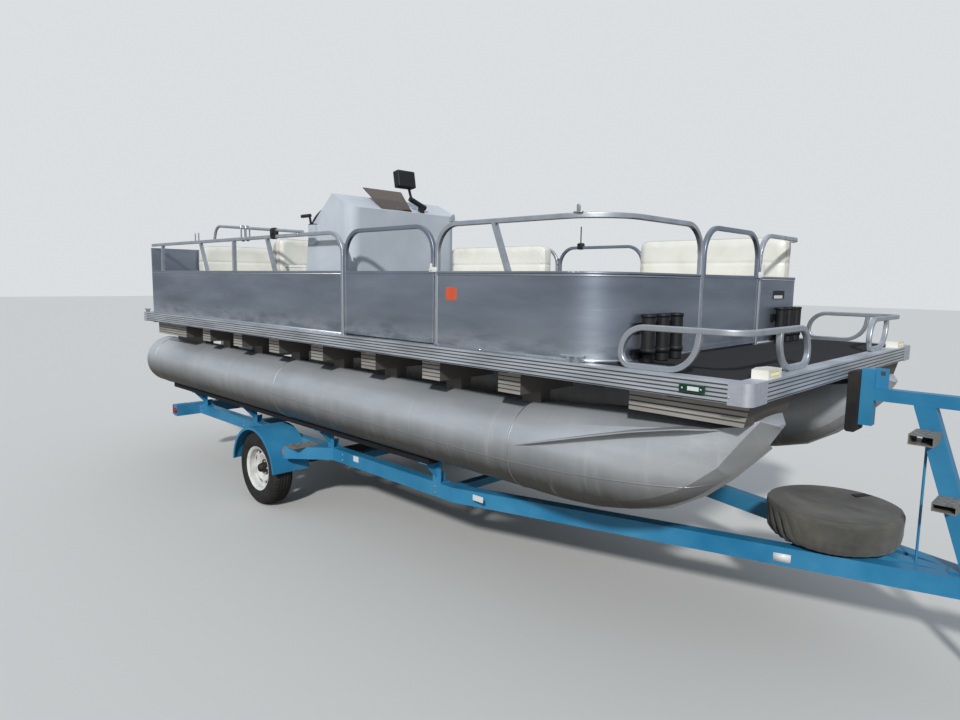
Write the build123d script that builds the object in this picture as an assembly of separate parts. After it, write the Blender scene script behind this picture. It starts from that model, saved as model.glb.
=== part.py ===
from build123d import *
from math import atan2, degrees, hypot
import os

os.makedirs("parts", exist_ok=True)

# A flat-decked aluminium pontoon boat about 20 feet long on its single-axle bunk trailer.
# X runs forward, Y to port and Z up, in mm. The floor is Z = 0 and the boat's centreline is Y = 0.

# Overall: the tongue's reach ahead of the deck and the outboard's reach behind it
DECK_LENGTH = 6177.0
BEAM = 2438.0
DECK_TOP = 1490.0
TONGUE_REACH = 1130.0
OUTBOARD_REACH = 833.0
BOW = (DECK_LENGTH + OUTBOARD_REACH - TONGUE_REACH) / 2
STERN = BOW - DECK_LENGTH
SIDE = BEAM / 2
FIT = 0.3
NOSE_FIT = 0.8

# Deck edge rail, a ribbed C-shaped extrusion
RAIL_HEIGHT = 83.5
RAIL_WALL = 6.0
RAIL_RIB_DEPTH = 5.0
RAIL_RIBS = 5
RAIL_FLANGE = 74.0
RAIL_FLANGE_THICK = 4.0
CAP_SIDE = 92.0
CAP_FRONT = 150.0
CAP_WALL = 12.0
CAP_RADIUS = 34.0
CAP_OVERHANG = 5.0

# Deck and the frame below it
DECK_THICK = 30.0
CROSS_HEIGHT = 62.0
CROSS_WIDTH = 64.0
STATION_COUNT = 7
FIRST_STATION = BOW - 1278.0
LAST_STATION = STERN + 1269.0
STATION_PITCH = (FIRST_STATION - LAST_STATION) / (STATION_COUNT - 1)
RISER_LENGTH = 152.0
RISER_DROP = 208.0
RISER_OUTER = 1122.0
RISER_RIB = 4.0
LONG_RISER_AFT = 680.0
LONG_RISER_FORE = 512.0

# Pontoons
PONTOON_RADIUS = 236.6
PONTOON_Y = 900.0
PONTOON_DROP = 511.5
PONTOON_Z = DECK_TOP - PONTOON_DROP
PONTOON_AFT = STERN - 180.0
NOSE_START = BOW - 1290.0

# Fence walls, top rails and gates
FENCE_TOP = DECK_TOP + 411.6
FENCE_INSET = 36.4
FENCE_THICK = 22.0
FENCE_Y = SIDE - FENCE_INSET
FENCE_AFT = STERN + 225.6
FENCE_FORE = BOW - 644.5
FENCE_BEND = 250.0
FENCE_CAP = 14.0
FENCE_CAP_WIDTH = 30.0
FENCE_CAP_ROUND = 5.0
STERN_WALL_TOP = DECK_TOP + 632.0
TUBE = 25.4
TUBE_ROUND = 5.0
RAIL_TOP = DECK_TOP + 671.0
ARCH_BEND = 150.0
SIDE_GATE_AFT = BOW - 2656.0
SIDE_GATE_WIDTH = 881.0
PORT_GATE_SHIFT = 114.0
BOW_GATE_STARBOARD = -338.0
BOW_GATE_PORT = 400.0
GATE_GAP = 8.0
GATE_FLOOR_GAP = 14.0
HINGE_IN = 7.0
HINGE_RADIUS = 6.0
HINGE_PIN = 3.0
HINGE_LEAF = 3.0
KNUCKLE = 24.0
HINGE_HEIGHTS = (70.0, 520.0)

# Trailer
TYRE_RADIUS = 303.5
TYRE_WIDTH = 175.0
TYRE_OUTER_Y = 1135.0
RIM_RADIUS = 165.0
RIM_FLANGE = 181.0
AXLE_X = STERN + 2167.0
BEAM_Y = 850.0
BEAM_WIDTH = 76.0
BEAM_TOP = DECK_TOP - 934.0
BEAM_HEIGHT = 95.0
BEAM_AFT = STERN + 407.0
BEAM_BEND = BOW - 1980.0
TONGUE_WIDTH = 76.0


def block(x, y, z):
    """Solid box between pairs of limits along X, Y and Z."""
    centre = Pos((x[0] + x[1]) / 2, (y[0] + y[1]) / 2, (z[0] + z[1]) / 2)
    return centre * Box(x[1] - x[0], y[1] - y[0], z[1] - z[0])


def port(shape):
    """Mirror image on the port side."""
    return shape.mirror(Plane.XZ)


def pair(shape):
    """The shape and its mirror image."""
    return [shape, port(shape)]


def side_profile(points, y):
    """Polygon in side view, points as (X, Z), carried between two Y limits."""
    plane = Plane(origin=(0, y[1], 0), x_dir=(1, 0, 0), z_dir=(0, -1, 0))
    return extrude(plane * make_face(Polyline(*points, close=True)), amount=y[1] - y[0])


def plan_profile(points, z):
    """Polygon in plan, points as (X, Y), carried between two heights."""
    outline = make_face(Polyline(*points, close=True))
    return Pos(0, 0, z[0]) * extrude(outline, amount=z[1] - z[0])


def front_profile(points, x):
    """Polygon in front view, points as (Y, Z), carried between two X limits."""
    plane = Plane(origin=(x[0], 0, 0), x_dir=(0, 1, 0), z_dir=(1, 0, 0))
    return extrude(plane * make_face(Polyline(*points, close=True)), amount=x[1] - x[0])


def tube_run(points, bends, size=TUBE):
    """Square tube with rounded edges along straight runs and bends."""
    path = FilletPolyline(*points, radius=bends) if bends else Polyline(*points)
    start = Plane(origin=path @ 0, z_dir=path % 0)
    return sweep(start * RectangleRounded(size, size, TUBE_ROUND), path=path)


def rod(start, end, radius):
    """Round bar from one point to another."""
    line = Line(start, end)
    return sweep(Plane(origin=start, z_dir=line % 0) * Circle(radius), path=line)


def all_solids(shapes):
    """Every solid in a shape or in nested lists of shapes."""
    if isinstance(shapes, (list, tuple)):
        return [solid for shape in shapes for solid in all_solids(shape)]
    return list(shapes.solids())


def node(name, *shapes):
    """Write the pieces of one sub-part."""
    solids = all_solids(shapes)
    body = solids[0] if len(solids) == 1 else Compound(children=solids)
    body.label = name
    export_step(body, f"parts/{name}.step")


# Pontoons: a round tube whose nose sweeps up and narrows to a blunt tip

# Nose sections from the seam forward. Each row gives the distance behind the bow edge, the depths of
# the top, shoulder, chine and keel below the deck top, the half widths at the shoulder and the chine,
# and how far the side and the bottom bulge beyond straight lines.
NOSE_SECTIONS = (
    (1310.0, 276.5, 345.3, 677.7, 746.5, 166.2, 166.2, 68.8, 17.9),
    (860.0, 234.0, 312.0, 672.0, 740.0, 168.0, 166.0, 67.0, 17.0),
    (470.0, 209.0, 258.0, 577.0, 649.0, 178.0, 165.0, 42.0, 12.0),
    (300.0, 205.0, 236.0, 480.0, 546.0, 174.0, 166.0, 20.0, 9.0),
    (188.0, 201.0, 218.0, 385.0, 448.0, 158.0, 158.0, 6.0, 6.0),
    (105.0, 192.0, 203.0, 264.0, 359.0, 137.0, 138.0, 2.0, 4.0),
    (41.0, 162.0, 168.0, 174.0, 288.0, 114.0, 116.0, 0.3, 3.0),
)
# Blunt end of the tip, in the same columns
NOSE_TIP = (-4.0, 194.0, 196.0, 199.0, 212.0, 32.0, 34.0, 0.3, 0.6)


def bulged(start, end, bulge):
    """Arc between two section points, standing off their straight line to its right."""
    run = (end[0] - start[0], end[1] - start[1])
    length = hypot(*run)
    middle = (
        (start[0] + end[0]) / 2 + bulge * run[1] / length,
        (start[1] + end[1]) / 2 - bulge * run[0] / length,
    )
    return ThreePointArc(start, middle, end)


def nose_section(back, top, shoulder, chine, keel, shoulder_half, chine_half, side_bulge, low_bulge):
    """Closed outline across the nose: keel, chines, shoulders and top."""
    plane = Plane(origin=(BOW - back, -PONTOON_Y, DECK_TOP), x_dir=(0, 1, 0), z_dir=(1, 0, 0))
    keel_point = (0, -keel)
    left_chine = (-chine_half, -chine)
    right_chine = (chine_half, -chine)
    left_shoulder = (-shoulder_half, -shoulder)
    right_shoulder = (shoulder_half, -shoulder)
    return plane * make_face(
        [
            bulged(keel_point, right_chine, low_bulge),
            bulged(right_chine, right_shoulder, side_bulge),
            ThreePointArc(right_shoulder, (0, -top), left_shoulder),
            bulged(left_shoulder, left_chine, side_bulge),
            bulged(left_chine, keel_point, low_bulge),
        ]
    )


def make_pontoon():
    barrel_length = NOSE_START - PONTOON_AFT
    barrel = Pos((NOSE_START + PONTOON_AFT) / 2, -PONTOON_Y, PONTOON_Z) * (
        Rot(0, 90, 0) * Cylinder(PONTOON_RADIUS, barrel_length)
    )
    sections = [nose_section(*row) for row in NOSE_SECTIONS]
    round_part = loft(sections[:4], ruled=False)
    chined_part = loft(sections[3:], ruled=True)
    tip = loft([sections[-1], nose_section(*NOSE_TIP)], ruled=True)
    return barrel + round_part + chined_part + tip


pontoon = make_pontoon()
node("pontoon_starboard", pontoon)
node("pontoon_port", port(pontoon))

# Spray fin: a thin blade along the outer side of each nose, wider towards its front
FIN_THICK = 5.0
FIN_Z = DECK_TOP - 395.0
FIN_AFT = BOW - 1285.0
FIN_FORE = BOW - 330.0
FIN_WIDTH = 105.0
FIN_RISE = 96.0


def make_spray_fin():
    root = -PONTOON_Y
    outline = [
        (FIN_AFT, root),
        (FIN_FORE, root),
        (FIN_FORE, -PONTOON_Y - 190.0 - 18.0),
        (FIN_FORE - 230.0, -PONTOON_Y - 214.0 - FIN_WIDTH + 50.0),
        (FIN_FORE - 560.0, -PONTOON_Y - 225.0 - 52.0),
        (FIN_AFT, -PONTOON_Y - 206.0),
    ]
    blade = plan_profile(outline, (0, FIN_THICK))
    slope = degrees(atan2(FIN_RISE, FIN_FORE - FIN_AFT))
    blade = Pos(FIN_AFT, 0, FIN_Z) * Rot(0, -slope, 0) * Pos(-FIN_AFT, 0, 0) * blade
    return blade - pontoon


fin = make_spray_fin().solids().sort_by(SortBy.VOLUME)[-1]
node("spray_fins", pair(fin))

# Deck edge rails: ribbed outer wall with a top and a bottom flange, cut at corner castings


def rail_outline():
    """C-section as (inward, height) points, the outer wall at 0, with a rib at each pitch."""
    points = [(RAIL_FLANGE, 0), (0, 0)]
    pitch = RAIL_HEIGHT / RAIL_RIBS
    for rib in range(RAIL_RIBS):
        top = -rib * pitch
        points += [
            (0, top - 0.55 * pitch),
            (RAIL_RIB_DEPTH, top - 0.65 * pitch),
            (RAIL_RIB_DEPTH, top - 0.9 * pitch),
        ]
        if rib < RAIL_RIBS - 1:
            points.append((0, top - pitch))
    inner = RAIL_RIB_DEPTH + RAIL_WALL
    points += [
        (0, -RAIL_HEIGHT),
        (inner + 22.0, -RAIL_HEIGHT),
        (inner + 22.0, -RAIL_HEIGHT + RAIL_FLANGE_THICK),
        (inner, -RAIL_HEIGHT + RAIL_FLANGE_THICK),
        (inner, -RAIL_FLANGE_THICK),
        (RAIL_FLANGE, -RAIL_FLANGE_THICK),
    ]
    return points


def make_side_rail():
    points = [(-SIDE + inward, DECK_TOP + high) for inward, high in rail_outline()]
    return front_profile(points, (STERN + CAP_SIDE, BOW - CAP_SIDE))


def make_end_rail(x, inward_sign):
    points = [(x + inward_sign * inward, DECK_TOP + high) for inward, high in rail_outline()]
    return side_profile(points, (-SIDE + CAP_FRONT, SIDE - CAP_FRONT))


node("deck_rails", pair(make_side_rail()), make_end_rail(BOW, -1), make_end_rail(STERN, 1))


def make_corner_cap():
    """Hollow casting round the starboard bow corner: two legs under a top, its corner rounded."""
    low = DECK_TOP - RAIL_HEIGHT - CAP_OVERHANG
    high = DECK_TOP
    outer = block((BOW - CAP_SIDE, BOW), (-SIDE, -SIDE + CAP_FRONT), (low, high))
    edge = outer.edges().filter_by(Axis.Z).sort_by(Axis.X)[-2:].sort_by(Axis.Y)[0]
    outer = fillet(edge, CAP_RADIUS)
    inner = block(
        (BOW - CAP_SIDE - 1, BOW - CAP_WALL),
        (-SIDE + CAP_WALL, -SIDE + CAP_FRONT + 1),
        (low - 1, high - RAIL_FLANGE_THICK),
    )
    clear = block(
        (BOW - CAP_SIDE - 1, BOW - RAIL_FLANGE),
        (-SIDE + RAIL_FLANGE, -SIDE + CAP_FRONT + 1),
        (low - 1, high + 1),
    )
    return outer - inner - clear


bow_cap = make_corner_cap()
stern_cap = bow_cap.mirror(Plane(origin=((BOW + STERN) / 2, 0, 0), z_dir=(1, 0, 0)))
node("corner_caps", pair(bow_cap), pair(stern_cap))

# Deck board under the rail flanges, cross-members and risers
DECK_HIGH = DECK_TOP - RAIL_FLANGE_THICK
DECK_LOW = DECK_HIGH - DECK_THICK
deck_board = block(
    (STERN + CAP_WALL, BOW - CAP_WALL),
    (-SIDE + CAP_WALL, SIDE - CAP_WALL),
    (DECK_LOW, DECK_HIGH),
)
carpet_edge = RAIL_FLANGE + 1.0
carpet = block(
    (STERN + carpet_edge, BOW - carpet_edge),
    (-SIDE + carpet_edge, SIDE - carpet_edge),
    (DECK_HIGH, DECK_TOP),
)
node("deck", deck_board + carpet)

CROSS_LOW = DECK_LOW - CROSS_HEIGHT
CROSS_REACH = SIDE - 40.0
RISER_LOW = DECK_TOP - RISER_DROP


def station_x(index):
    return FIRST_STATION - index * STATION_PITCH


def make_cross_member(x):
    """Channel lying on its side across the boat."""
    half = CROSS_WIDTH / 2
    wall = 5.0
    points = [
        (x - half, DECK_LOW),
        (x + half, DECK_LOW),
        (x + half, DECK_LOW - wall),
        (x - half + wall, DECK_LOW - wall),
        (x - half + wall, CROSS_LOW + wall),
        (x + half, CROSS_LOW + wall),
        (x + half, CROSS_LOW),
        (x - half, CROSS_LOW),
    ]
    return side_profile(points, (-CROSS_REACH, CROSS_REACH))


cross_stations = [station_x(index) for index in range(STATION_COUNT)]
cross_stations += [BOW - 330.0, BOW - 700.0, STERN + 190.0, STERN + 560.0]
node("cross_members", [make_cross_member(x) for x in cross_stations])


def ribbed_block(x, y, z, ribs):
    """Riser with horizontal grooves on its outer face, which looks to starboard."""
    body = block(x, y, z)
    pitch = (z[1] - z[0]) / ribs
    for index in range(ribs):
        low = z[0] + (index + 0.72) * pitch
        body -= block(
            (x[0] - 1, x[1] + 1), (y[0] - 1, y[0] + RISER_RIB), (low, low + 0.28 * pitch)
        )
    return body


RISER_INNER = 2 * PONTOON_Y - RISER_OUTER
SADDLE_HALF = 40.0


ROUND_TUBE = Pos(0, -PONTOON_Y, PONTOON_Z) * (
    Rot(0, 90, 0) * Cylinder(PONTOON_RADIUS + FIT, 2 * DECK_LENGTH)
)
RAISED_NOSE = Pos(0, 0, NOSE_FIT) * pontoon


def make_riser(x_low, x_high, low, ribs, tube):
    """Ribbed block under a cross-member, on a saddle that seats on the tube's crest."""
    body = ribbed_block((x_low, x_high), (-RISER_OUTER, -RISER_INNER), (low, CROSS_LOW), ribs)
    saddle = block(
        (x_low + 12.0, x_high - 12.0),
        (-PONTOON_Y - SADDLE_HALF, -PONTOON_Y + SADDLE_HALF),
        (PONTOON_Z, low),
    )
    return body + (saddle - tube).solids().sort_by(Axis.Z)[-1]


risers = []
for index in range(STATION_COUNT):
    ends = (station_x(index) - RISER_LENGTH / 2, station_x(index) + RISER_LENGTH / 2)
    tube = RAISED_NOSE if ends[1] > NOSE_START else ROUND_TUBE
    risers.append(make_riser(*ends, RISER_LOW, 5, tube))
aft_riser_end = STERN + 143.0
risers.append(
    make_riser(aft_riser_end, aft_riser_end + LONG_RISER_AFT, RISER_LOW, 5, ROUND_TUBE)
)


def make_bow_riser():
    """Long riser over the nose, its front end sloping back, its foot fitted to the nose."""
    top_fore = BOW - 37.0
    low_fore = BOW - 63.0
    aft = BOW - 60.0 - LONG_RISER_FORE
    low = DECK_TOP - 186.0
    body = side_profile(
        [(aft, CROSS_LOW), (top_fore - 4, CROSS_LOW), (low_fore, low), (aft, low)],
        (-RISER_OUTER, -RISER_INNER),
    )
    pitch = (CROSS_LOW - low) / 4
    for index in range(4):
        groove = low + (index + 0.7) * pitch
        body -= block(
            (aft - 1, BOW),
            (-RISER_OUTER - 1, -RISER_OUTER + RISER_RIB),
            (groove, groove + 0.3 * pitch),
        )
    foot = block(
        (aft + 10.0, BOW - 180.0),
        (-PONTOON_Y - SADDLE_HALF, -PONTOON_Y + SADDLE_HALF),
        (DECK_TOP - 240.0, low),
    )
    return (body + foot - RAISED_NOSE).solids().sort_by(Axis.Z)[-1]


risers.append(make_bow_riser())
node("risers_starboard", risers)
node("risers_port", [port(riser) for riser in risers])

# Fence walls: framed aluminium sheet with a rounded cap along the top
half_wall = FENCE_THICK / 2


def wall_run(points, top, bends=None):
    """Wall along a plan path from the deck up, with its wider cap on top."""
    path = FilletPolyline(*points, radius=bends) if bends else Polyline(*points)
    base = Plane(origin=path @ 0, z_dir=path % 0, x_dir=Vector(0, 0, 1).cross(path % 0))
    wall_high = top - DECK_TOP - FENCE_CAP
    wall = base * Pos(0, wall_high / 2) * Rectangle(FENCE_THICK, wall_high)
    cap_outline = RectangleRounded(FENCE_CAP_WIDTH, FENCE_CAP, FENCE_CAP_ROUND)
    cap = base * Pos(0, wall_high + FENCE_CAP / 2) * cap_outline
    return sweep(wall, path=path) + sweep(cap, path=path)


stern_post = FENCE_AFT + half_wall
SIDE_GATE_FORE = SIDE_GATE_AFT + SIDE_GATE_WIDTH
PORT_GATE_AFT = SIDE_GATE_AFT - PORT_GATE_SHIFT
PORT_GATE_FORE = SIDE_GATE_FORE - PORT_GATE_SHIFT
aft_wall = wall_run(
    [(stern_post + half_wall, -FENCE_Y, DECK_TOP), (SIDE_GATE_AFT - TUBE, -FENCE_Y, DECK_TOP)],
    FENCE_TOP,
)
port_aft_wall = wall_run(
    [(stern_post + half_wall, FENCE_Y, DECK_TOP), (PORT_GATE_AFT - TUBE, FENCE_Y, DECK_TOP)],
    FENCE_TOP,
)
bow_wall = wall_run(
    [
        (SIDE_GATE_FORE + TUBE, -FENCE_Y, DECK_TOP),
        (FENCE_FORE - half_wall, -FENCE_Y, DECK_TOP),
        (FENCE_FORE - half_wall, BOW_GATE_STARBOARD - TUBE, DECK_TOP),
    ],
    FENCE_TOP,
    FENCE_BEND,
)
port_bow_wall = wall_run(
    [
        (PORT_GATE_FORE + TUBE, FENCE_Y, DECK_TOP),
        (FENCE_FORE - half_wall, FENCE_Y, DECK_TOP),
        (FENCE_FORE - half_wall, BOW_GATE_PORT + TUBE, DECK_TOP),
    ],
    FENCE_TOP,
    FENCE_BEND,
)
stern_wall = wall_run(
    [(stern_post, -FENCE_Y - half_wall, DECK_TOP), (stern_post, FENCE_Y + half_wall, DECK_TOP)],
    STERN_WALL_TOP,
)
stern_wall -= block((stern_post + half_wall, BOW), (-SIDE, SIDE), (DECK_TOP, STERN_WALL_TOP))
node("side_fences", aft_wall, port_aft_wall)
node("bow_fences", bow_wall, port_bow_wall)
node("stern_fence", stern_wall)

# Top rails: square tube with bent ends that run down to the deck as the gate posts
tube_mid = RAIL_TOP - TUBE / 2


def strut(x_top, x_low, y):
    """Flat-sided brace from the wall's cap up into the top rail."""
    half = TUBE / 2
    points = [
        (x_top - half, tube_mid),
        (x_top + half, tube_mid),
        (x_low + half, FENCE_TOP),
        (x_low - half, FENCE_TOP),
    ]
    return side_profile(points, (y - half, y + half))


# Braces of the aft rail: top and foot, as distances behind the bow edge
AFT_BRACES = ((4822.0, 4701.0), (4188.0, 4192.0), (3653.0, 3544.0), (5669.0, 5690.0))
BOW_BRACES = ((1345.0, 1245.0),)

# Folded hoop lying along the starboard aft rail: foot, upper corner and low end behind the bow edge
HOOP_RADIUS = 11.0
HOOP_FOOT = 4545.0
HOOP_CORNER = (4500.0, 778.0)
HOOP_END = (3150.0, 678.0)
HOOP_BEND = 95.0


def make_aft_rail(y, gate_edge):
    post_x = gate_edge - TUBE / 2
    rail = tube_run(
        [
            (stern_post + half_wall, y, tube_mid),
            (post_x, y, tube_mid),
            (post_x, y, DECK_TOP),
        ],
        ARCH_BEND,
    )
    for top, foot in AFT_BRACES:
        rail += strut(BOW - top, BOW - foot, y)
    return rail


def make_hoop():
    """Round tube that rises from the rail, bends forward and slopes down onto it again."""
    path = FilletPolyline(
        (BOW - HOOP_FOOT, -FENCE_Y, tube_mid),
        (BOW - HOOP_CORNER[0], -FENCE_Y, DECK_TOP + HOOP_CORNER[1]),
        (BOW - HOOP_END[0], -FENCE_Y, DECK_TOP + HOOP_END[1]),
        radius=HOOP_BEND,
    )
    return sweep(Plane(origin=path @ 0, z_dir=path % 0) * Circle(HOOP_RADIUS), path=path)


def hinge_axis():
    """Hinge line of a gate in its own frame: X along the gate, Y inboard."""
    return GATE_GAP / 2, TUBE / 2 + HINGE_IN


def hinge_side(on_gate):
    """Leaves and knuckles of one side: the post's with a bore, the gate's with the pin."""
    axis_x, axis_y = hinge_axis()
    pieces = []
    for height in HINGE_HEIGHTS:
        low = DECK_TOP + height + (KNUCKLE + 0.5 if on_gate else 0)
        middle = Pos(axis_x, axis_y, low + KNUCKLE / 2)
        reach = (axis_x, axis_x + 25.0) if on_gate else (axis_x - 25.0, axis_x)
        leaf = block(reach, (TUBE / 2, TUBE / 2 + HINGE_LEAF), (low, low + KNUCKLE))
        knuckle = leaf + middle * Cylinder(HINGE_RADIUS, KNUCKLE)
        if on_gate:
            knuckle += middle * Pos(0, 0, -KNUCKLE / 2) * Cylinder(HINGE_PIN, 2 * KNUCKLE)
        else:
            knuckle -= middle * Cylinder(HINGE_PIN + FIT, KNUCKLE + 2)
        pieces.append(knuckle)
    return pieces


def make_bow_rail(side, side_edge, gate_edge):
    y = side * FENCE_Y
    aft_x = side_edge + TUBE / 2
    post_y = gate_edge + side * TUBE / 2
    front = FENCE_FORE - FENCE_THICK / 2
    rail = tube_run(
        [
            (aft_x, y, DECK_TOP),
            (aft_x, y, tube_mid),
            (front, y, tube_mid),
            (front, post_y, tube_mid),
            (front, post_y, DECK_TOP),
        ],
        [ARCH_BEND, FENCE_BEND, ARCH_BEND],
    )
    for top, foot in BOW_BRACES:
        rail += strut(BOW - top, BOW - foot, y)
    return rail


GATE_LINE = FENCE_FORE - half_wall
side_place = Pos(SIDE_GATE_AFT, -FENCE_Y, 0)
bow_place = Pos(GATE_LINE, BOW_GATE_STARBOARD, 0) * Rot(0, 0, 90)
aft_rail = make_aft_rail(-FENCE_Y, SIDE_GATE_AFT) + make_hoop()
port_aft_rail = make_aft_rail(FENCE_Y, PORT_GATE_AFT)
bow_rail = make_bow_rail(-1, SIDE_GATE_FORE, BOW_GATE_STARBOARD)
port_bow_rail = make_bow_rail(1, PORT_GATE_FORE, BOW_GATE_PORT)
for leaf in hinge_side(False):
    aft_rail += side_place * leaf
    port_aft_rail += Pos(-PORT_GATE_SHIFT, 0, 0) * port(side_place * leaf)
    bow_rail += bow_place * leaf
node("top_rails_starboard", aft_rail, bow_rail)
node("top_rails_port", port_aft_rail, port_bow_rail)

# Gates: a bent tube hoop with a sheet panel between its legs
GATE_PANEL_THICK = 18.0
GATE_FOOT = DECK_TOP + GATE_FLOOR_GAP


def make_gate(width):
    """Gate across an opening, in its own frame: hinge side at X = 0, Y inboard."""
    left = GATE_GAP + TUBE / 2
    right = width - GATE_GAP - TUBE / 2
    hoop = tube_run(
        [
            (left, 0, GATE_FOOT),
            (left, 0, tube_mid),
            (right, 0, tube_mid),
            (right, 0, GATE_FOOT),
        ],
        ARCH_BEND,
    )
    half = GATE_PANEL_THICK / 2
    inner = (left + TUBE / 2, right - TUBE / 2)
    panel = block(inner, (-half, half), (GATE_FOOT, FENCE_TOP))
    trim = block(inner, (-TUBE / 2, TUBE / 2), (FENCE_TOP - FENCE_CAP, FENCE_TOP))
    sill = block(inner, (-TUBE / 2, TUBE / 2), (GATE_FOOT, GATE_FOOT + TUBE))
    gate = hoop + panel + trim + sill
    for leaf in hinge_side(True):
        gate += leaf
    return gate


side_gate = side_place * make_gate(SIDE_GATE_WIDTH)
node("gate_starboard", side_gate)
node("gate_port", Pos(-PORT_GATE_SHIFT, 0, 0) * port(side_gate))
node("gate_bow", bow_place * make_gate(BOW_GATE_PORT - BOW_GATE_STARBOARD))

# Grab rails: a rail round each bow corner that ends in a D-shaped loop on the side and at the front
GRAB_TUBE = 25.4
GRAB_LEG_TUBE = 24.6
GRAB_LEG_ENTRY = 20.0
GRAB_HIGH = DECK_TOP + 178.0
GRAB_LOW = DECK_TOP + GRAB_TUBE / 2
GRAB_Y = SIDE - 58.0
GRAB_X = BOW - 58.0
GRAB_TOP_BEND = 110.0
GRAB_CORNER_BEND = 110.0
GRAB_FOOT_BEND = 50.0
GRAB_LOOP_BEND = 130.0

# Side loop and front loop: post, middle of the low run, low corner and top end of the curved leg
SIDE_LOOP = (BOW - 595.0, BOW - 440.0, BOW - 262.0, BOW - 240.0)
FRONT_LOOP = (-487.0, -620.0, -845.0, -822.0)


def make_grab_rail():
    side_post, side_middle, side_corner, side_top = SIDE_LOOP
    front_post, front_middle, front_corner, front_top = FRONT_LOOP
    rail = tube_run(
        [
            (side_middle, -GRAB_Y, GRAB_LOW),
            (side_post, -GRAB_Y, GRAB_LOW),
            (side_post, -GRAB_Y, GRAB_HIGH),
            (GRAB_X, -GRAB_Y, GRAB_HIGH),
            (GRAB_X, front_post, GRAB_HIGH),
            (GRAB_X, front_post, GRAB_LOW),
            (GRAB_X, front_middle, GRAB_LOW),
        ],
        [GRAB_FOOT_BEND, GRAB_TOP_BEND, GRAB_CORNER_BEND, GRAB_TOP_BEND, GRAB_FOOT_BEND],
        GRAB_TUBE,
    )
    side_leg = tube_run(
        [
            (side_middle - GRAB_LEG_ENTRY, -GRAB_Y, GRAB_LOW),
            (side_corner, -GRAB_Y, GRAB_LOW),
            (side_top, -GRAB_Y, GRAB_HIGH),
        ],
        GRAB_LOOP_BEND,
        GRAB_LEG_TUBE,
    )
    front_leg = tube_run(
        [
            (GRAB_X, front_middle + GRAB_LEG_ENTRY, GRAB_LOW),
            (GRAB_X, front_corner, GRAB_LOW),
            (GRAB_X, front_top, GRAB_HIGH),
        ],
        GRAB_LOOP_BEND,
        GRAB_LEG_TUBE,
    )
    return rail + side_leg + front_leg


grab_rail = make_grab_rail()
node("grab_rails_starboard", grab_rail)
node("grab_rails_port", port(grab_rail))

# Rod holders: three open tubes on two backing straps, fixed to each front wall
HOLDER_RADIUS = 30.0
HOLDER_BORE = 24.0
HOLDER_LONG = 218.0
HOLDER_PITCH = 130.0
HOLDER_Y = 798.0
HOLDER_LOW = DECK_TOP + 4.0
HOLDER_FLOOR = 10.0
HOLDER_STRAP = 12.0
HOLDER_STRAP_REACH = HOLDER_PITCH + 70.0
HOLDER_STRAPS = ((16.0, 58.0), (136.0, 178.0))
HOLDER_X = FENCE_FORE + HOLDER_STRAP + HOLDER_RADIUS - 2.0


def make_rod_holders():
    tubes = None
    bores = None
    for index in (-1, 0, 1):
        place = Pos(HOLDER_X, -HOLDER_Y + index * HOLDER_PITCH, HOLDER_LOW + HOLDER_LONG / 2)
        tube = place * Cylinder(HOLDER_RADIUS, HOLDER_LONG)
        bore = place * Pos(0, 0, HOLDER_FLOOR) * Cylinder(HOLDER_BORE, HOLDER_LONG)
        tubes = tube if tubes is None else tubes + tube
        bores = bore if bores is None else bores + bore
    for low, high in HOLDER_STRAPS:
        tubes += block(
            (FENCE_FORE, FENCE_FORE + HOLDER_STRAP),
            (-HOLDER_Y - HOLDER_STRAP_REACH, -HOLDER_Y + HOLDER_STRAP_REACH),
            (HOLDER_LOW + low, HOLDER_LOW + high),
        )
    return tubes - bores


rod_holders = make_rod_holders()
node("rod_holders_starboard", rod_holders)
node("rod_holders_port", port(rod_holders))

# Bow docking lights, side lights and cleats
light_high = DECK_TOP + 36.0


def make_docking_light():
    shell = plan_profile(
        [
            (BOW - 70.0, -1062.0),
            (BOW - 8.0, -1050.0),
            (BOW - 8.0, -918.0),
            (BOW - 70.0, -906.0),
            (BOW - 86.0, -984.0),
        ],
        (DECK_TOP, light_high),
    )
    lens = block((BOW - 20.0, BOW - 7.0), (-1030.0, -938.0), (DECK_TOP + 10.0, light_high - 10.0))
    return shell - lens


side_light_x = (BOW - 283.0, BOW - 177.0)
side_light = block(side_light_x, (-SIDE - 16.0, -SIDE), (DECK_TOP - 56.0, DECK_TOP - 26.0))
side_light = fillet(side_light.edges().filter_by(Axis.Z), 7.0)
node("bow_lights", pair(make_docking_light()), pair(side_light))


def make_cleat(x, y):
    """Low horn cleat lying along X: two feet under a tapered bar."""
    bar = Pos(x, y, DECK_TOP + 30.0) * Rot(0, 90, 0) * Cylinder(7.0, 130.0)
    feet = [
        block((x + d - 9, x + d + 9), (y - 9, y + 9), (DECK_TOP, DECK_TOP + 30.0)) for d in (-22, 22)
    ]
    return bar + feet[0] + feet[1]


cleat_y = -SIDE + 14.0
node(
    "cleats",
    [pair(make_cleat(x, cleat_y)) for x in (BOW - 820.0, STERN + 97.0)],
)

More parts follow.
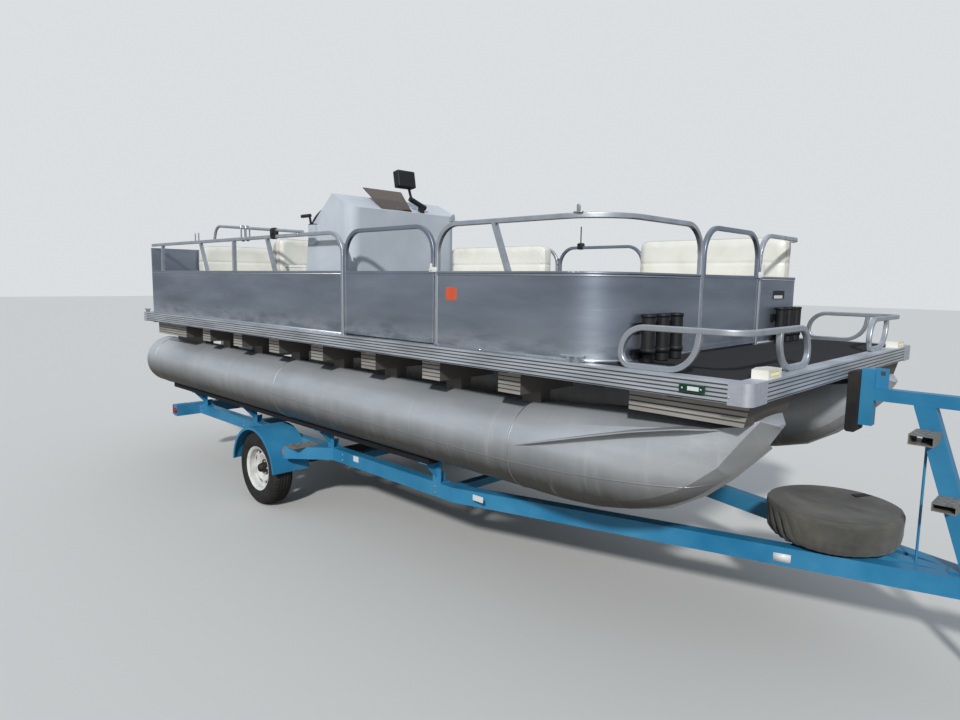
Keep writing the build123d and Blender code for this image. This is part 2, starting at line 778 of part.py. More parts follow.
# Helm console with its knee recess, boss for the wheel, throttle, windscreen and display
CONSOLE_OUTER = 82.6 - FENCE_Y
CONSOLE_WIDTH = 952.0
CONSOLE_SIDES = (CONSOLE_OUTER, CONSOLE_OUTER + CONSOLE_WIDTH)
CONSOLE_FRONT = BOW - 2706.0
CONSOLE_AFT = BOW - 3254.0
CONSOLE_LIP = DECK_TOP + 829.0
CONSOLE_RIDGE = (BOW - 2912.0, DECK_TOP + 927.0)
CONSOLE_BROW = (BOW - 3206.0, DECK_TOP + 697.0)
CONSOLE_SHELF = DECK_TOP + 419.0
CONSOLE_ROUND = 80.0
WHEEL_CENTRE = (BOW - 3330.0, CONSOLE_OUTER + 280.0, DECK_TOP + 755.0)
WHEEL_TILT = 35.0
WHEEL_RADIUS = 167.0
WHEEL_GRIP = 13.0
SHAFT_RADIUS = 11.0
BOSS_RADIUS = 46.0
BOSS_FACE = 92.0


def make_console():
    body = side_profile(
        [
            (CONSOLE_FRONT, DECK_TOP),
            (CONSOLE_FRONT, CONSOLE_LIP),
            CONSOLE_RIDGE,
            CONSOLE_BROW,
            (CONSOLE_AFT, CONSOLE_SHELF),
            (CONSOLE_AFT, DECK_TOP),
        ],
        CONSOLE_SIDES,
    )
    uprights = body.edges().filter_by(Axis.Z).sort_by(Axis.X)[-2:]
    body = fillet(uprights, CONSOLE_ROUND)
    recess = block(
        (CONSOLE_AFT - 1, CONSOLE_AFT + 250.0),
        (CONSOLE_SIDES[0] + 50.0, CONSOLE_SIDES[1] - 50.0),
        (DECK_TOP + 60.0, DECK_TOP + 395.0),
    )
    return body - recess


def wheel_place():
    """Frame at the steering wheel's centre, its Z along the shaft towards the helmsman."""
    return Pos(*WHEEL_CENTRE) * Rot(0, WHEEL_TILT - 90.0, 0)


console = make_console()
boss = wheel_place() * Pos(0, 0, -BOSS_FACE - 60.0) * Cylinder(BOSS_RADIUS, 120.0)
boss_bore = wheel_place() * Pos(0, 0, -BOSS_FACE) * Cylinder(SHAFT_RADIUS + FIT, 50.0)

# Throttle on the console's outer side: control box, arm and the handle that lies along X
THROTTLE_X = BOW - 3130.0
THROTTLE_HANDLE_Y = CONSOLE_SIDES[0] - 40.0
THROTTLE_HANDLE_Z = DECK_TOP + 789.0
THROTTLE_REACH = 98.0


def make_throttle():
    box_y = (CONSOLE_SIDES[0] - 28.0, CONSOLE_SIDES[0])
    box_z = (DECK_TOP + 600.0, DECK_TOP + 735.0)
    control = block((THROTTLE_X - 40.0, THROTTLE_X + 40.0), box_y, box_z)
    control = fillet(control.edges().filter_by(Axis.Y), 16.0)
    pivot = (THROTTLE_X, box_y[0] + 6.0, box_z[1] - 40.0)
    top = (THROTTLE_X, THROTTLE_HANDLE_Y, THROTTLE_HANDLE_Z)
    handle_end = (THROTTLE_X - THROTTLE_REACH, THROTTLE_HANDLE_Y, THROTTLE_HANDLE_Z)
    handle_start = (THROTTLE_X + 8.0, THROTTLE_HANDLE_Y, THROTTLE_HANDLE_Z)
    return control + rod(pivot, top, 8.0) + rod(handle_start, handle_end, 12.0)


console_body = console + boss - boss_bore + make_throttle()
node("console", console_body)


def make_steering_wheel():
    rim = Torus(WHEEL_RADIUS, WHEEL_GRIP)
    hub = Pos(0, 0, -22.0) * Cylinder(34.0, 34.0)
    shaft = Pos(0, 0, -(BOSS_FACE + 12.0) / 2 - 5.0) * Cylinder(SHAFT_RADIUS, BOSS_FACE + 2.0)
    wheel = rim + hub + shaft
    for angle in (90, 210, 330):
        wheel += Rot(0, 0, angle) * Pos(WHEEL_RADIUS / 2, 0, -8.0) * Box(WHEEL_RADIUS, 26.0, 7.0)
    return wheel_place() * wheel


node("steering_wheel", make_steering_wheel())


def lip_height(x):
    """Height of the console's sloping top at a given X."""
    share = (CONSOLE_FRONT - x) / (CONSOLE_FRONT - CONSOLE_RIDGE[0])
    return CONSOLE_LIP + share * (CONSOLE_RIDGE[1] - CONSOLE_LIP)


def make_windscreen():
    """Tinted plate standing on the sloping top and leaning aft, wider at its top."""
    foot_fore = CONSOLE_FRONT - 10.0
    foot_aft = foot_fore - 7.0
    top_x = CONSOLE_FRONT - 186.0
    top_z = DECK_TOP + 984.0
    plate = side_profile(
        [
            (foot_fore, lip_height(foot_fore)),
            (foot_aft, lip_height(foot_aft)),
            (top_x - 3.0, top_z),
            (top_x, top_z + 4.0),
        ],
        (-880.0, -520.0),
    )
    outline = plan_profile(
        [
            (foot_fore + 2, -834.0),
            (foot_fore + 2, -574.0),
            (top_x - 4.0, -529.0),
            (top_x - 4.0, -864.0),
        ],
        (CONSOLE_LIP, top_z + 10.0),
    )
    return plate & outline


node("windscreen", make_windscreen())

# Display: a foot on the console's top, a tube slanting up to starboard and the case above its end
DISPLAY_X = CONSOLE_FRONT - 26.0
DISPLAY_FOOT_Y = -475.0
DISPLAY_TUBE = 18.0
DISPLAY_LOW = (-439.0, DECK_TOP + 871.0)
DISPLAY_HIGH = (-578.0, DECK_TOP + 925.0)
DISPLAY_CASE = (60.0, 150.0, 115.0)
DISPLAY_CASE_Y = -627.0
DISPLAY_CASE_Z = DECK_TOP + 1050.0


def make_display():
    foot = block(
        (DISPLAY_X - 16.0, DISPLAY_X + 16.0),
        (DISPLAY_FOOT_Y - 16.0, DISPLAY_FOOT_Y + 16.0),
        (CONSOLE_LIP, DISPLAY_LOW[1] + 10.0),
    )
    tube = rod((DISPLAY_X, *DISPLAY_LOW), (DISPLAY_X, *DISPLAY_HIGH), DISPLAY_TUBE)
    bracket = rod(
        (DISPLAY_X, DISPLAY_HIGH[0] + 12.0, DISPLAY_HIGH[1]),
        (DISPLAY_X, DISPLAY_CASE_Y + 20.0, DISPLAY_CASE_Z),
        9.0,
    )
    case = Pos(DISPLAY_X, DISPLAY_CASE_Y, DISPLAY_CASE_Z) * Rot(0, -10, 0) * Box(*DISPLAY_CASE)
    case = fillet(case.edges(), 8.0)
    return (foot - console) + tube + bracket + case


node("display", make_display())

# Helm chair on its pedestal
CHAIR_X = BOW - 3750.0
CHAIR_Y = -720.0
CHAIR_HALF = 250.0
CHAIR_SEAT_LOW = DECK_TOP + 345.0
CHAIR_SEAT_HIGH = DECK_TOP + 470.0
CHAIR_BACK_HIGH = DECK_TOP + 690.0
CHAIR_PAN = 32.0
CHAIR_SHELL = 22.0
CHAIR_BACK_CUSHION = 92.0
PEDESTAL_RADIUS = 36.5
SWIVEL_GAP = 0.3


def make_pedestal():
    base = Pos(CHAIR_X, CHAIR_Y, DECK_TOP + 6.0) * Cylinder(155.0, 12.0)
    column_high = CHAIR_SEAT_LOW - 30.0 - DECK_TOP
    column = Pos(CHAIR_X, CHAIR_Y, DECK_TOP + column_high / 2) * Cylinder(
        PEDESTAL_RADIUS, column_high
    )
    return base + column


def make_chair_shell():
    """Moulded seat pan and back shell above a swivel plate."""
    plate_low = CHAIR_SEAT_LOW - 30.0 + SWIVEL_GAP
    plate = Pos(CHAIR_X, CHAIR_Y, (plate_low + CHAIR_SEAT_LOW) / 2) * Cylinder(
        90.0, CHAIR_SEAT_LOW - plate_low
    )
    across = (CHAIR_Y - CHAIR_HALF, CHAIR_Y + CHAIR_HALF)
    pan = block(
        (CHAIR_X - CHAIR_HALF, CHAIR_X + CHAIR_HALF - 20.0),
        across,
        (CHAIR_SEAT_LOW, CHAIR_SEAT_LOW + CHAIR_PAN),
    )
    pan = fillet(pan.edges().filter_by(Axis.Z), 60.0)
    back = block(
        (CHAIR_X - CHAIR_HALF, CHAIR_X - CHAIR_HALF + CHAIR_SHELL),
        (across[0] + 20.0, across[1] - 20.0),
        (CHAIR_SEAT_LOW, CHAIR_BACK_HIGH - 30.0),
    )
    top_corners = back.edges().filter_by(Axis.X).sort_by(Axis.Z)[-2:]
    return plate + (pan + fillet(top_corners, 60.0))


def make_chair_cushions():
    """Seat cushion on the pan and back cushion in front of the shell."""
    across = (CHAIR_Y - CHAIR_HALF, CHAIR_Y + CHAIR_HALF)
    back_fore = CHAIR_X - CHAIR_HALF + CHAIR_SHELL + CHAIR_BACK_CUSHION
    low = CHAIR_SEAT_LOW + CHAIR_PAN + FIT
    seat = block((back_fore + FIT, CHAIR_X + CHAIR_HALF), across, (low, CHAIR_SEAT_HIGH))
    back = block(
        (CHAIR_X - CHAIR_HALF + CHAIR_SHELL + FIT, back_fore), across, (low, CHAIR_BACK_HIGH)
    )
    return [fillet(seat.edges(), 36.0), fillet(back.edges(), 38.0)]


node("chair_pedestal", make_pedestal())
node("chair_seat", make_chair_shell())
node("chair_cushions", make_chair_cushions())

# Benches: moulded base, seat cushion and back cushion each
BENCH_BASE_HIGH = DECK_TOP + 300.0
BENCH_SEAT_HIGH = DECK_TOP + 420.0
BENCH_BACK = 125.0
BENCH_OUTER = FENCE_Y - 27.6
BENCH_INNER = BENCH_OUTER - 595.0
BACK_CLEAR = 3.0

# Fore and aft benches on the port side: aft end, fore end, top of the back
PORT_BENCHES = (
    (BOW - 1880.0, BOW - 690.0, DECK_TOP + 710.0),
    (BOW - 4060.0, BOW - 2790.0, DECK_TOP + 705.0),
)
STERN_BENCH_AFT = FENCE_AFT + FENCE_THICK + 6.0
STERN_BENCH_FORE = STERN + 827.0
STERN_BENCH_SIDES = (-780.0, BENCH_OUTER - 5.0)
STERN_BENCH_HIGH = DECK_TOP + 700.0

# Clear of the bow wall's bend at the outer front corner
bend_x = FENCE_FORE - half_wall - FENCE_BEND
bend_y = FENCE_Y - FENCE_BEND
corner = block((bend_x, BOW), (bend_y, SIDE), (DECK_TOP - 1, RAIL_TOP + 100.0))
corner -= Pos(bend_x, bend_y, RAIL_TOP) * Cylinder(FENCE_BEND - FENCE_CAP_WIDTH, 4 * RAIL_TOP)

bases = []
seats = []
backs = []
for aft, fore, high in PORT_BENCHES:
    base = block(
        (aft + 25.0, fore - 25.0), (BENCH_INNER + 45.0, BENCH_OUTER), (DECK_TOP, BENCH_BASE_HIGH)
    )
    bases.append(base - corner)
    seat = block(
        (aft, fore),
        (BENCH_INNER, BENCH_OUTER - BENCH_BACK - BACK_CLEAR),
        (BENCH_BASE_HIGH + FIT, BENCH_SEAT_HIGH),
    )
    seats.append(fillet(seat.edges(), 30.0) - corner)
    back = block(
        (aft, fore), (BENCH_OUTER - BENCH_BACK, BENCH_OUTER), (BENCH_BASE_HIGH + FIT, high)
    )
    backs.append(fillet(back.edges(), 36.0) - corner)
bases.append(
    block(
        (STERN_BENCH_AFT, STERN_BENCH_FORE - 45.0),
        (STERN_BENCH_SIDES[0] + 25.0, STERN_BENCH_SIDES[1] - 25.0),
        (DECK_TOP, BENCH_BASE_HIGH),
    )
)
seat = block(
    (STERN_BENCH_AFT + BENCH_BACK + BACK_CLEAR, STERN_BENCH_FORE),
    STERN_BENCH_SIDES,
    (BENCH_BASE_HIGH + FIT, BENCH_SEAT_HIGH),
)
seats.append(fillet(seat.edges(), 30.0))
back = block(
    (STERN_BENCH_AFT, STERN_BENCH_AFT + BENCH_BACK),
    STERN_BENCH_SIDES,
    (BENCH_BASE_HIGH + FIT, STERN_BENCH_HIGH),
)
backs.append(fillet(back.edges(), 36.0))
node("bench_bases", bases)
node("bench_cushions", seats, backs)

# Motor pod between the pontoons, carrying the outboard behind the deck
POD_HALF = 290.0
POD_AFT = STERN - 343.0
POD_LOW = DECK_TOP - 500.0
TRANSOM_HIGH = DECK_TOP - 150.0
TRANSOM_THICK = 45.0
TRANSOM_HALF = 250.0


def make_pod():
    body = side_profile(
        [
            (STERN + 560.0, CROSS_LOW),
            (STERN + 420.0, POD_LOW),
            (POD_AFT + TRANSOM_THICK, POD_LOW),
            (POD_AFT + TRANSOM_THICK, TRANSOM_HIGH - 150.0),
            (STERN, TRANSOM_HIGH),
            (STERN + 60.0, CROSS_LOW),
        ],
        (-POD_HALF, POD_HALF),
    )
    transom = block(
        (POD_AFT, POD_AFT + TRANSOM_THICK), (-TRANSOM_HALF, TRANSOM_HALF), (POD_LOW, TRANSOM_HIGH)
    )
    return body + transom


node("motor_pod", make_pod())

# Outboard: clamp bracket on the transom, swivel bracket, leg, cowl and propeller
TILT_X = POD_AFT - 30.0
TILT_Z = TRANSOM_HIGH - 6.0
TILT_PIN = 11.0
BRACKET_HALF = 130.0
BRACKET_WALL = 16.0
STEER_X = POD_AFT - 105.0
STEER_RADIUS = 24.0
STEER_WALL = 16.0
HEAD_GAP = 6.0
CASING_FORE = STEER_X - 58.0
GEARCASE_LENGTH = 210.0
GEARCASE_AFT = CASING_FORE - 175.0
SWIVEL_HALF = 60.0
SWIVEL_HIGH = TILT_Z - 40.0
SWIVEL_LOW = TILT_Z - 330.0
PLATE_Z = DECK_TOP - 645.0
PROP_Z = DECK_TOP - 835.0
PROP_RADIUS = 165.0
PROP_HUB = 44.0
SKEG_LOW = DECK_TOP - 1010.0
COWL_LOW = TRANSOM_HIGH + 80.0
COWL_HIGH = DECK_TOP + 330.0
COWL_FORE = POD_AFT + 55.0
COWL_HALF = 185.0
COWL_CHAMFER = 34.0
OUTBOARD_AFT = STERN - OUTBOARD_REACH


def make_clamp():
    """Two cheeks over the transom with a pin across them."""
    clamp = None
    for y in (-BRACKET_HALF, BRACKET_HALF - BRACKET_WALL):
        cheek = side_profile(
            [
                (POD_AFT + TRANSOM_THICK + 14.0, TRANSOM_HIGH + 16.0),
                (POD_AFT + TRANSOM_THICK + 14.0, TRANSOM_HIGH - 130.0),
                (POD_AFT + TRANSOM_THICK, TRANSOM_HIGH - 130.0),
                (POD_AFT + TRANSOM_THICK, TRANSOM_HIGH),
                (POD_AFT, TRANSOM_HIGH),
                (POD_AFT, TRANSOM_HIGH - 290.0),
                (POD_AFT - 26.0, TRANSOM_HIGH - 290.0),
                (TILT_X - 28.0, TILT_Z),
                (TILT_X - 10.0, TRANSOM_HIGH + 16.0),
            ],
            (y, y + BRACKET_WALL),
        )
        clamp = cheek if clamp is None else clamp + cheek
    pin = Pos(TILT_X, 0, TILT_Z) * Rot(90, 0, 0) * Cylinder(TILT_PIN, 2 * BRACKET_HALF - 2.0)
    return clamp + pin


def make_swivel():
    """Yoke on the tilt pin with the upright steering tube behind it."""
    yoke = side_profile(
        [
            (TILT_X + 18.0, TILT_Z + 10.0),
            (TILT_X + 18.0, TILT_Z - 14.0),
            (STEER_X + 30.0, SWIVEL_LOW + 10.0),
            (STEER_X, SWIVEL_LOW),
            (STEER_X, SWIVEL_HIGH),
            (STEER_X + 50.0, SWIVEL_HIGH),
            (TILT_X - 14.0, TILT_Z + 14.0),
        ],
        (-SWIVEL_HALF, SWIVEL_HALF),
    )
    tube = Pos(STEER_X, 0, (SWIVEL_LOW + SWIVEL_HIGH) / 2) * Cylinder(
        STEER_RADIUS + STEER_WALL, SWIVEL_HIGH - SWIVEL_LOW
    )
    bore = Pos(STEER_X, 0, (SWIVEL_LOW + SWIVEL_HIGH) / 2) * Cylinder(STEER_RADIUS + FIT, 600.0)
    pin_bore = Pos(TILT_X, 0, TILT_Z) * Rot(90, 0, 0) * Cylinder(TILT_PIN + FIT, 300.0)
    return yoke + tube - bore - pin_bore


def leg_section(z, fore, aft, half):
    """Pointed oval across the leg at one height."""
    outline = [
        ThreePointArc((fore, 0), ((fore + aft) / 2 + 20.0, half), (aft, 0)),
        ThreePointArc((aft, 0), ((fore + aft) / 2 + 20.0, -half), (fore, 0)),
    ]
    return Plane(origin=(0, 0, z)) * make_face(outline)


def make_leg():
    """Steering pin, casing down to the gearcase, cavitation plate, torpedo and skeg."""
    pin = Pos(STEER_X, 0, (SWIVEL_LOW + SWIVEL_HIGH) / 2) * Cylinder(
        STEER_RADIUS, SWIVEL_HIGH - SWIVEL_LOW + 2 * HEAD_GAP
    )
    head_low = SWIVEL_HIGH + HEAD_GAP
    head = plan_profile(
        [
            (STEER_X, -40.0),
            (STEER_X, 40.0),
            (STEER_X - 260.0, 110.0),
            (STEER_X - 260.0, -110.0),
        ],
        (head_low, COWL_LOW),
    )
    head += Pos(STEER_X, 0, (head_low + COWL_LOW) / 2) * Cylinder(40.0, COWL_LOW - head_low)
    low_yoke = block(
        (CASING_FORE - 20.0, STEER_X + 30.0), (-34.0, 34.0), (SWIVEL_LOW - 45.0, SWIVEL_LOW - 5.0)
    )
    casing = loft(
        [
            leg_section(COWL_LOW, CASING_FORE, CASING_FORE - 250.0, 72.0),
            leg_section(PLATE_Z, CASING_FORE + 16.0, CASING_FORE - 200.0, 44.0),
        ],
        ruled=True,
    )
    strut_low = loft(
        [
            leg_section(PLATE_Z, CASING_FORE + 10.0, CASING_FORE - 180.0, 34.0),
            leg_section(PROP_Z, CASING_FORE + 26.0, CASING_FORE - 170.0, 30.0),
        ],
        ruled=True,
    )
    plate = plan_profile(
        [
            (CASING_FORE + 20.0, -50.0),
            (CASING_FORE + 20.0, 50.0),
            (CASING_FORE - 130.0, 95.0),
            (CASING_FORE - 300.0, 80.0),
            (CASING_FORE - 300.0, -80.0),
            (CASING_FORE - 130.0, -95.0),
        ],
        (PLATE_Z, PLATE_Z + 8.0),
    )
    gearcase_middle = GEARCASE_AFT + GEARCASE_LENGTH / 2
    body = Pos(gearcase_middle, 0, PROP_Z) * Rot(0, 90, 0) * Cylinder(PROP_HUB, GEARCASE_LENGTH)
    nose = Pos(GEARCASE_AFT + GEARCASE_LENGTH, 0, PROP_Z) * Sphere(PROP_HUB)
    skeg = side_profile(
        [
            (CASING_FORE + 30.0, PROP_Z),
            (CASING_FORE - 60.0, SKEG_LOW),
            (CASING_FORE - 150.0, SKEG_LOW),
            (CASING_FORE - 165.0, PROP_Z),
        ],
        (-5.0, 5.0),
    )
    prop_shaft = Pos(CASING_FORE - 175.0 - 60.0, 0, PROP_Z) * Rot(0, 90, 0) * Cylinder(9.0, 122.0)
    leg = pin + head + low_yoke + casing + strut_low + plate + body + nose + skeg + prop_shaft
    return leg


def make_cowl():
    """Engine cover: a tapered box with rounded edges whose back end leans out."""
    shell = side_profile(
        [
            (COWL_FORE, COWL_LOW + 120.0),
            (COWL_FORE - 60.0, COWL_LOW),
            (OUTBOARD_AFT + 50.0, COWL_LOW),
            (OUTBOARD_AFT, COWL_LOW + 150.0),
            (OUTBOARD_AFT, COWL_HIGH - 60.0),
            (OUTBOARD_AFT + 70.0, COWL_HIGH),
            (COWL_FORE - 90.0, COWL_HIGH - 40.0),
            (COWL_FORE, COWL_HIGH - 150.0),
        ],
        (-COWL_HALF, COWL_HALF),
    )
    return chamfer(shell.edges().filter_by(Axis.Y, reverse=True), COWL_CHAMFER)


PROP_LONG = 106.0
PROP_GAP = 13.0
PROP_X = GEARCASE_AFT - PROP_GAP - PROP_LONG / 2
BLADE_THICK = 7.0


def make_propeller():
    """Hub with three pitched blades."""
    hub = Pos(PROP_X, 0, PROP_Z) * Rot(0, 90, 0) * Cylinder(PROP_HUB - 3.0, PROP_LONG)
    blade_arc = [
        (30.0, -26.0),
        (78.0, -66.0),
        (128.0, -64.0),
        (PROP_RADIUS - 4.0, -20.0),
        (PROP_RADIUS - 6.0, 26.0),
        (110.0, 52.0),
        (30.0, 24.0),
    ]
    flat = make_face(Polyline(*blade_arc, close=True))
    blade = Pos(0, 0, -BLADE_THICK / 2) * extrude(flat, amount=BLADE_THICK)
    propeller = hub
    for angle in (90, 210, 330):
        turned = Rot(angle, 0, 0) * Rot(0, -90, 0) * Rot(58, 0, 0) * blade
        propeller += Pos(PROP_X, 0, PROP_Z) * turned
    disc = Pos(PROP_X, 0, PROP_Z) * Rot(0, 90, 0) * Cylinder(PROP_RADIUS, 400.0)
    bore = Pos(PROP_X, 0, PROP_Z) * Rot(0, 90, 0) * Cylinder(9.0 + FIT, 300.0)
    return (propeller & disc) - bore


node("outboard_clamp", make_clamp())
node("outboard_swivel", make_swivel())
outboard_leg = make_leg()
node("outboard_leg", outboard_leg)
node("outboard_cowl", make_cowl())
node("propeller", make_propeller())

# Trailer frame: box side beams, straight drawbars converging on a central tongue, cross tubes
BEAM_LOW = BEAM_TOP - BEAM_HEIGHT
beam_inner = BEAM_Y - BEAM_WIDTH
TONGUE_AFT = BOW - 190.0
TONGUE_FORE = BOW + 990.0
TONGUE_Y = TONGUE_WIDTH / 2
TAIL_X = (BEAM_AFT - 80.0, BEAM_AFT)
TAIL_Z = (DECK_TOP - 1034.0, DECK_TOP - 923.0)
TAIL_HALF = 1078.0
CROSS_TUBES = (BOW - 2140.0, AXLE_X + 770.0, BEAM_AFT + 910.0)
CROSS_TUBE_WIDTH = 64.0
CROSS_TUBE_HEIGHT = 50.0
BRACE_WIDTH = 60.0
BRACE_HALF = 260.0

# Spare wheel lying over the tongue on a post through its rim and a low block under its tyre
SPARE_X = BOW - 35.0
SPARE_LIFT = 15.0
SPARE_MIDDLE = BEAM_TOP + SPARE_LIFT + TYRE_WIDTH / 2
SPARE_SEAT = 216.0
CARRIER_WIDTH = 70.0
DISC_OUT = 6.0
DISC_BACK = 2.0

# Points along the drawbar's outer face: X ahead of the bow edge, distance from the centreline
DRAWBAR_FACE = ((-1980.0, 850.0), (535.0, 87.0))


def make_frame():
    slope = (DRAWBAR_FACE[0][1] - DRAWBAR_FACE[1][1]) / (DRAWBAR_FACE[1][0] - DRAWBAR_FACE[0][0])
    fore = DRAWBAR_FACE[1][0] + (DRAWBAR_FACE[1][1] - TONGUE_Y) / slope
    width = BEAM_WIDTH * hypot(1, slope)
    frame = block((TONGUE_AFT, TONGUE_FORE), (-TONGUE_Y, TONGUE_Y), (BEAM_LOW, BEAM_TOP))
    for side in (-1, 1):
        outline = [
            (BEAM_AFT, side * BEAM_Y),
            (BEAM_BEND, side * BEAM_Y),
            (BOW + fore, side * TONGUE_Y),
            (BOW + fore - width / slope, side * TONGUE_Y),
            (BEAM_BEND - (width - BEAM_WIDTH) / slope, side * beam_inner),
            (BEAM_AFT, side * beam_inner),
        ]
        frame += plan_profile(outline, (BEAM_LOW, BEAM_TOP))
    for x in CROSS_TUBES:
        frame += block(
            (x, x + CROSS_TUBE_WIDTH),
            (-beam_inner - 1, beam_inner + 1),
            (BEAM_LOW + 4.0, BEAM_LOW + 4.0 + CROSS_TUBE_HEIGHT),
        )
    frame += block(TAIL_X, (-TAIL_HALF, TAIL_HALF), TAIL_Z)
    frame += block(
        (TONGUE_AFT, TONGUE_AFT + BRACE_WIDTH), (-BRACE_HALF, BRACE_HALF), (BEAM_LOW, BEAM_LOW + 50.0)
    )
    carrier_half = CARRIER_WIDTH / 2
    frame += block(
        (SPARE_X - carrier_half, SPARE_X + carrier_half),
        (-carrier_half, carrier_half),
        (BEAM_TOP, SPARE_MIDDLE + DISC_OUT - DISC_BACK),
    )
    seat_x = SPARE_X + SPARE_SEAT
    frame += block((seat_x, seat_x + 40.0), (-TONGUE_Y, TONGUE_Y), (BEAM_TOP, BEAM_TOP + SPARE_LIFT))
    return frame


trailer_frame = make_frame()
node("trailer_frame", trailer_frame)

# Tail lamps at the ends of the tail tube
LAMP_DEPTH = 32.0


def make_tail_lamp():
    lamp = block(
        (TAIL_X[0] - LAMP_DEPTH, TAIL_X[0]),
        (-TAIL_HALF, -TAIL_HALF + 150.0),
        (TAIL_Z[0] + 4.0, TAIL_Z[1] - 4.0),
    )
    return fillet(lamp.edges().filter_by(Axis.X), 12.0)


node("tail_lamps", pair(make_tail_lamp()))

# Fenders: half-round sheet with a turned-down outer lip
FENDER_X = AXLE_X
FENDER_RADIUS = 345.0
FENDER_SHEET = 4.0
FENDER_OUTER = 1170.0
FENDER_LIP = 22.0
FENDER_END = 27.0


def make_fender():
    width = FENDER_OUTER - BEAM_Y
    place = Pos(FENDER_X, -(FENDER_OUTER + BEAM_Y) / 2, TYRE_RADIUS) * Rot(90, 0, 0)
    skin = Cylinder(FENDER_RADIUS, width) - Cylinder(FENDER_RADIUS - FENDER_SHEET, width + 2)
    lip = Pos(0, 0, (width - FENDER_SHEET) / 2) * (
        Cylinder(FENDER_RADIUS, FENDER_SHEET)
        - Cylinder(FENDER_RADIUS - FENDER_LIP, FENDER_SHEET + 2)
    )
    shell = place * (skin + lip)
    cut = block(
        (FENDER_X - 2 * FENDER_RADIUS, FENDER_X + 2 * FENDER_RADIUS),
        (-FENDER_OUTER - 10, -BEAM_Y + 10),
        (-FENDER_RADIUS, TYRE_RADIUS + FENDER_END),
    )
    return shell - cut


# Side steps in front of the fenders, their outer edge slanting in to the beam
step_outline = [
    (AXLE_X + 370.0, -BEAM_Y),
    (AXLE_X + 370.0, -1100.0),
    (AXLE_X + 400.0, -1100.0),
    (AXLE_X + 682.0, -BEAM_Y),
]
side_step = plan_profile(step_outline, (BEAM_LOW, BEAM_TOP))
node("fenders", pair(make_fender()), pair(side_step))

# Axle, hubs' spindles, leaf springs and hangers
SPRING_Y = BEAM_Y - BEAM_WIDTH / 2
SPRING_WIDTH = 50.0
LEAF_THICK = 8.0
LEAF_COUNT = 3
AXLE_HALF = 30.0
AXLE_END = 905.0
SPRING_REACH = 320.0
SPRING_RISE = 62.0
HUB_RADIUS = 62.0
SPINDLE_RADIUS = 19.0
WHEEL_Y = TYRE_OUTER_Y - TYRE_WIDTH / 2
SPINDLE_END = WHEEL_Y + 20.0
DISC_Y = WHEEL_Y + DISC_OUT


def make_axle():
    axle = block(
        (AXLE_X - AXLE_HALF, AXLE_X + AXLE_HALF),
        (-AXLE_END, AXLE_END),
        (TYRE_RADIUS - AXLE_HALF, TYRE_RADIUS + AXLE_HALF),
    )
    spindle = Pos(AXLE_X, 0, TYRE_RADIUS) * Rot(90, 0, 0) * Cylinder(SPINDLE_RADIUS, 2 * SPINDLE_END)
    return axle + spindle


def make_spring():
    """Leaf pack as stacked arcs on the axle, with hangers at both ends and clamping bolts."""
    low = TYRE_RADIUS + AXLE_HALF
    radius = (SPRING_REACH**2 + SPRING_RISE**2) / (2 * SPRING_RISE)
    pack = None
    for leaf in range(LEAF_COUNT):
        reach = SPRING_REACH * (1 - 0.27 * (LEAF_COUNT - 1 - leaf))
        bottom = low + leaf * LEAF_THICK
        centre_z = bottom + radius
        ring = Cylinder(radius, SPRING_WIDTH) - Cylinder(radius - LEAF_THICK, SPRING_WIDTH + 2)
        ring = Pos(AXLE_X, -SPRING_Y, centre_z) * Rot(90, 0, 0) * ring
        window = block(
            (AXLE_X - reach, AXLE_X + reach),
            (-SPRING_Y - SPRING_WIDTH, -SPRING_Y + SPRING_WIDTH),
            (bottom - 1, bottom + 3 * SPRING_RISE),
        )
        piece = ring & window
        pack = piece if pack is None else pack + piece
    for sign in (-1, 1):
        end_x = AXLE_X + sign * (SPRING_REACH - 6.0)
        end_z = low + SPRING_RISE + LEAF_THICK * LEAF_COUNT
        pack += Pos(end_x, -SPRING_Y, end_z - 4.0) * Rot(90, 0, 0) * Cylinder(17.0, SPRING_WIDTH)
        for y_side in (-1, 1):
            y = -SPRING_Y + y_side * (SPRING_WIDTH / 2 + 3.0)
            pack += block((end_x - 22, end_x + 22), (y - 3, y + 3), (end_z - 30.0, BEAM_LOW))
    return pack


node("axle", make_axle())
node("leaf_springs", pair(make_spring()))

# Wheels: tyre, pressed rim and hub
RIM_WINDOWS = 8
RIM_WINDOW_AT = 131.0


def make_tyre():
    """Tyre as a turned section: tread, shoulders, sidewalls and beads."""
    half = TYRE_WIDTH / 2
    section = [
        (RIM_RADIUS + 1.0, -half + 28.0),
        (RIM_RADIUS + 22.0, -half + 10.0),
        (TYRE_RADIUS - 62.0, -half),
        (TYRE_RADIUS - 24.0, -half + 8.0),
        (TYRE_RADIUS - 5.0, -half + 30.0),
        (TYRE_RADIUS, -half + 48.0),
        (TYRE_RADIUS, half - 48.0),
        (TYRE_RADIUS - 5.0, half - 30.0),
        (TYRE_RADIUS - 24.0, half - 8.0),
        (TYRE_RADIUS - 62.0, half),
        (RIM_RADIUS + 22.0, half - 10.0),
        (RIM_RADIUS + 1.0, half - 28.0),
    ]
    return revolve(Plane.XZ * make_face(Polyline(*section, close=True)), Axis.Z, 360)


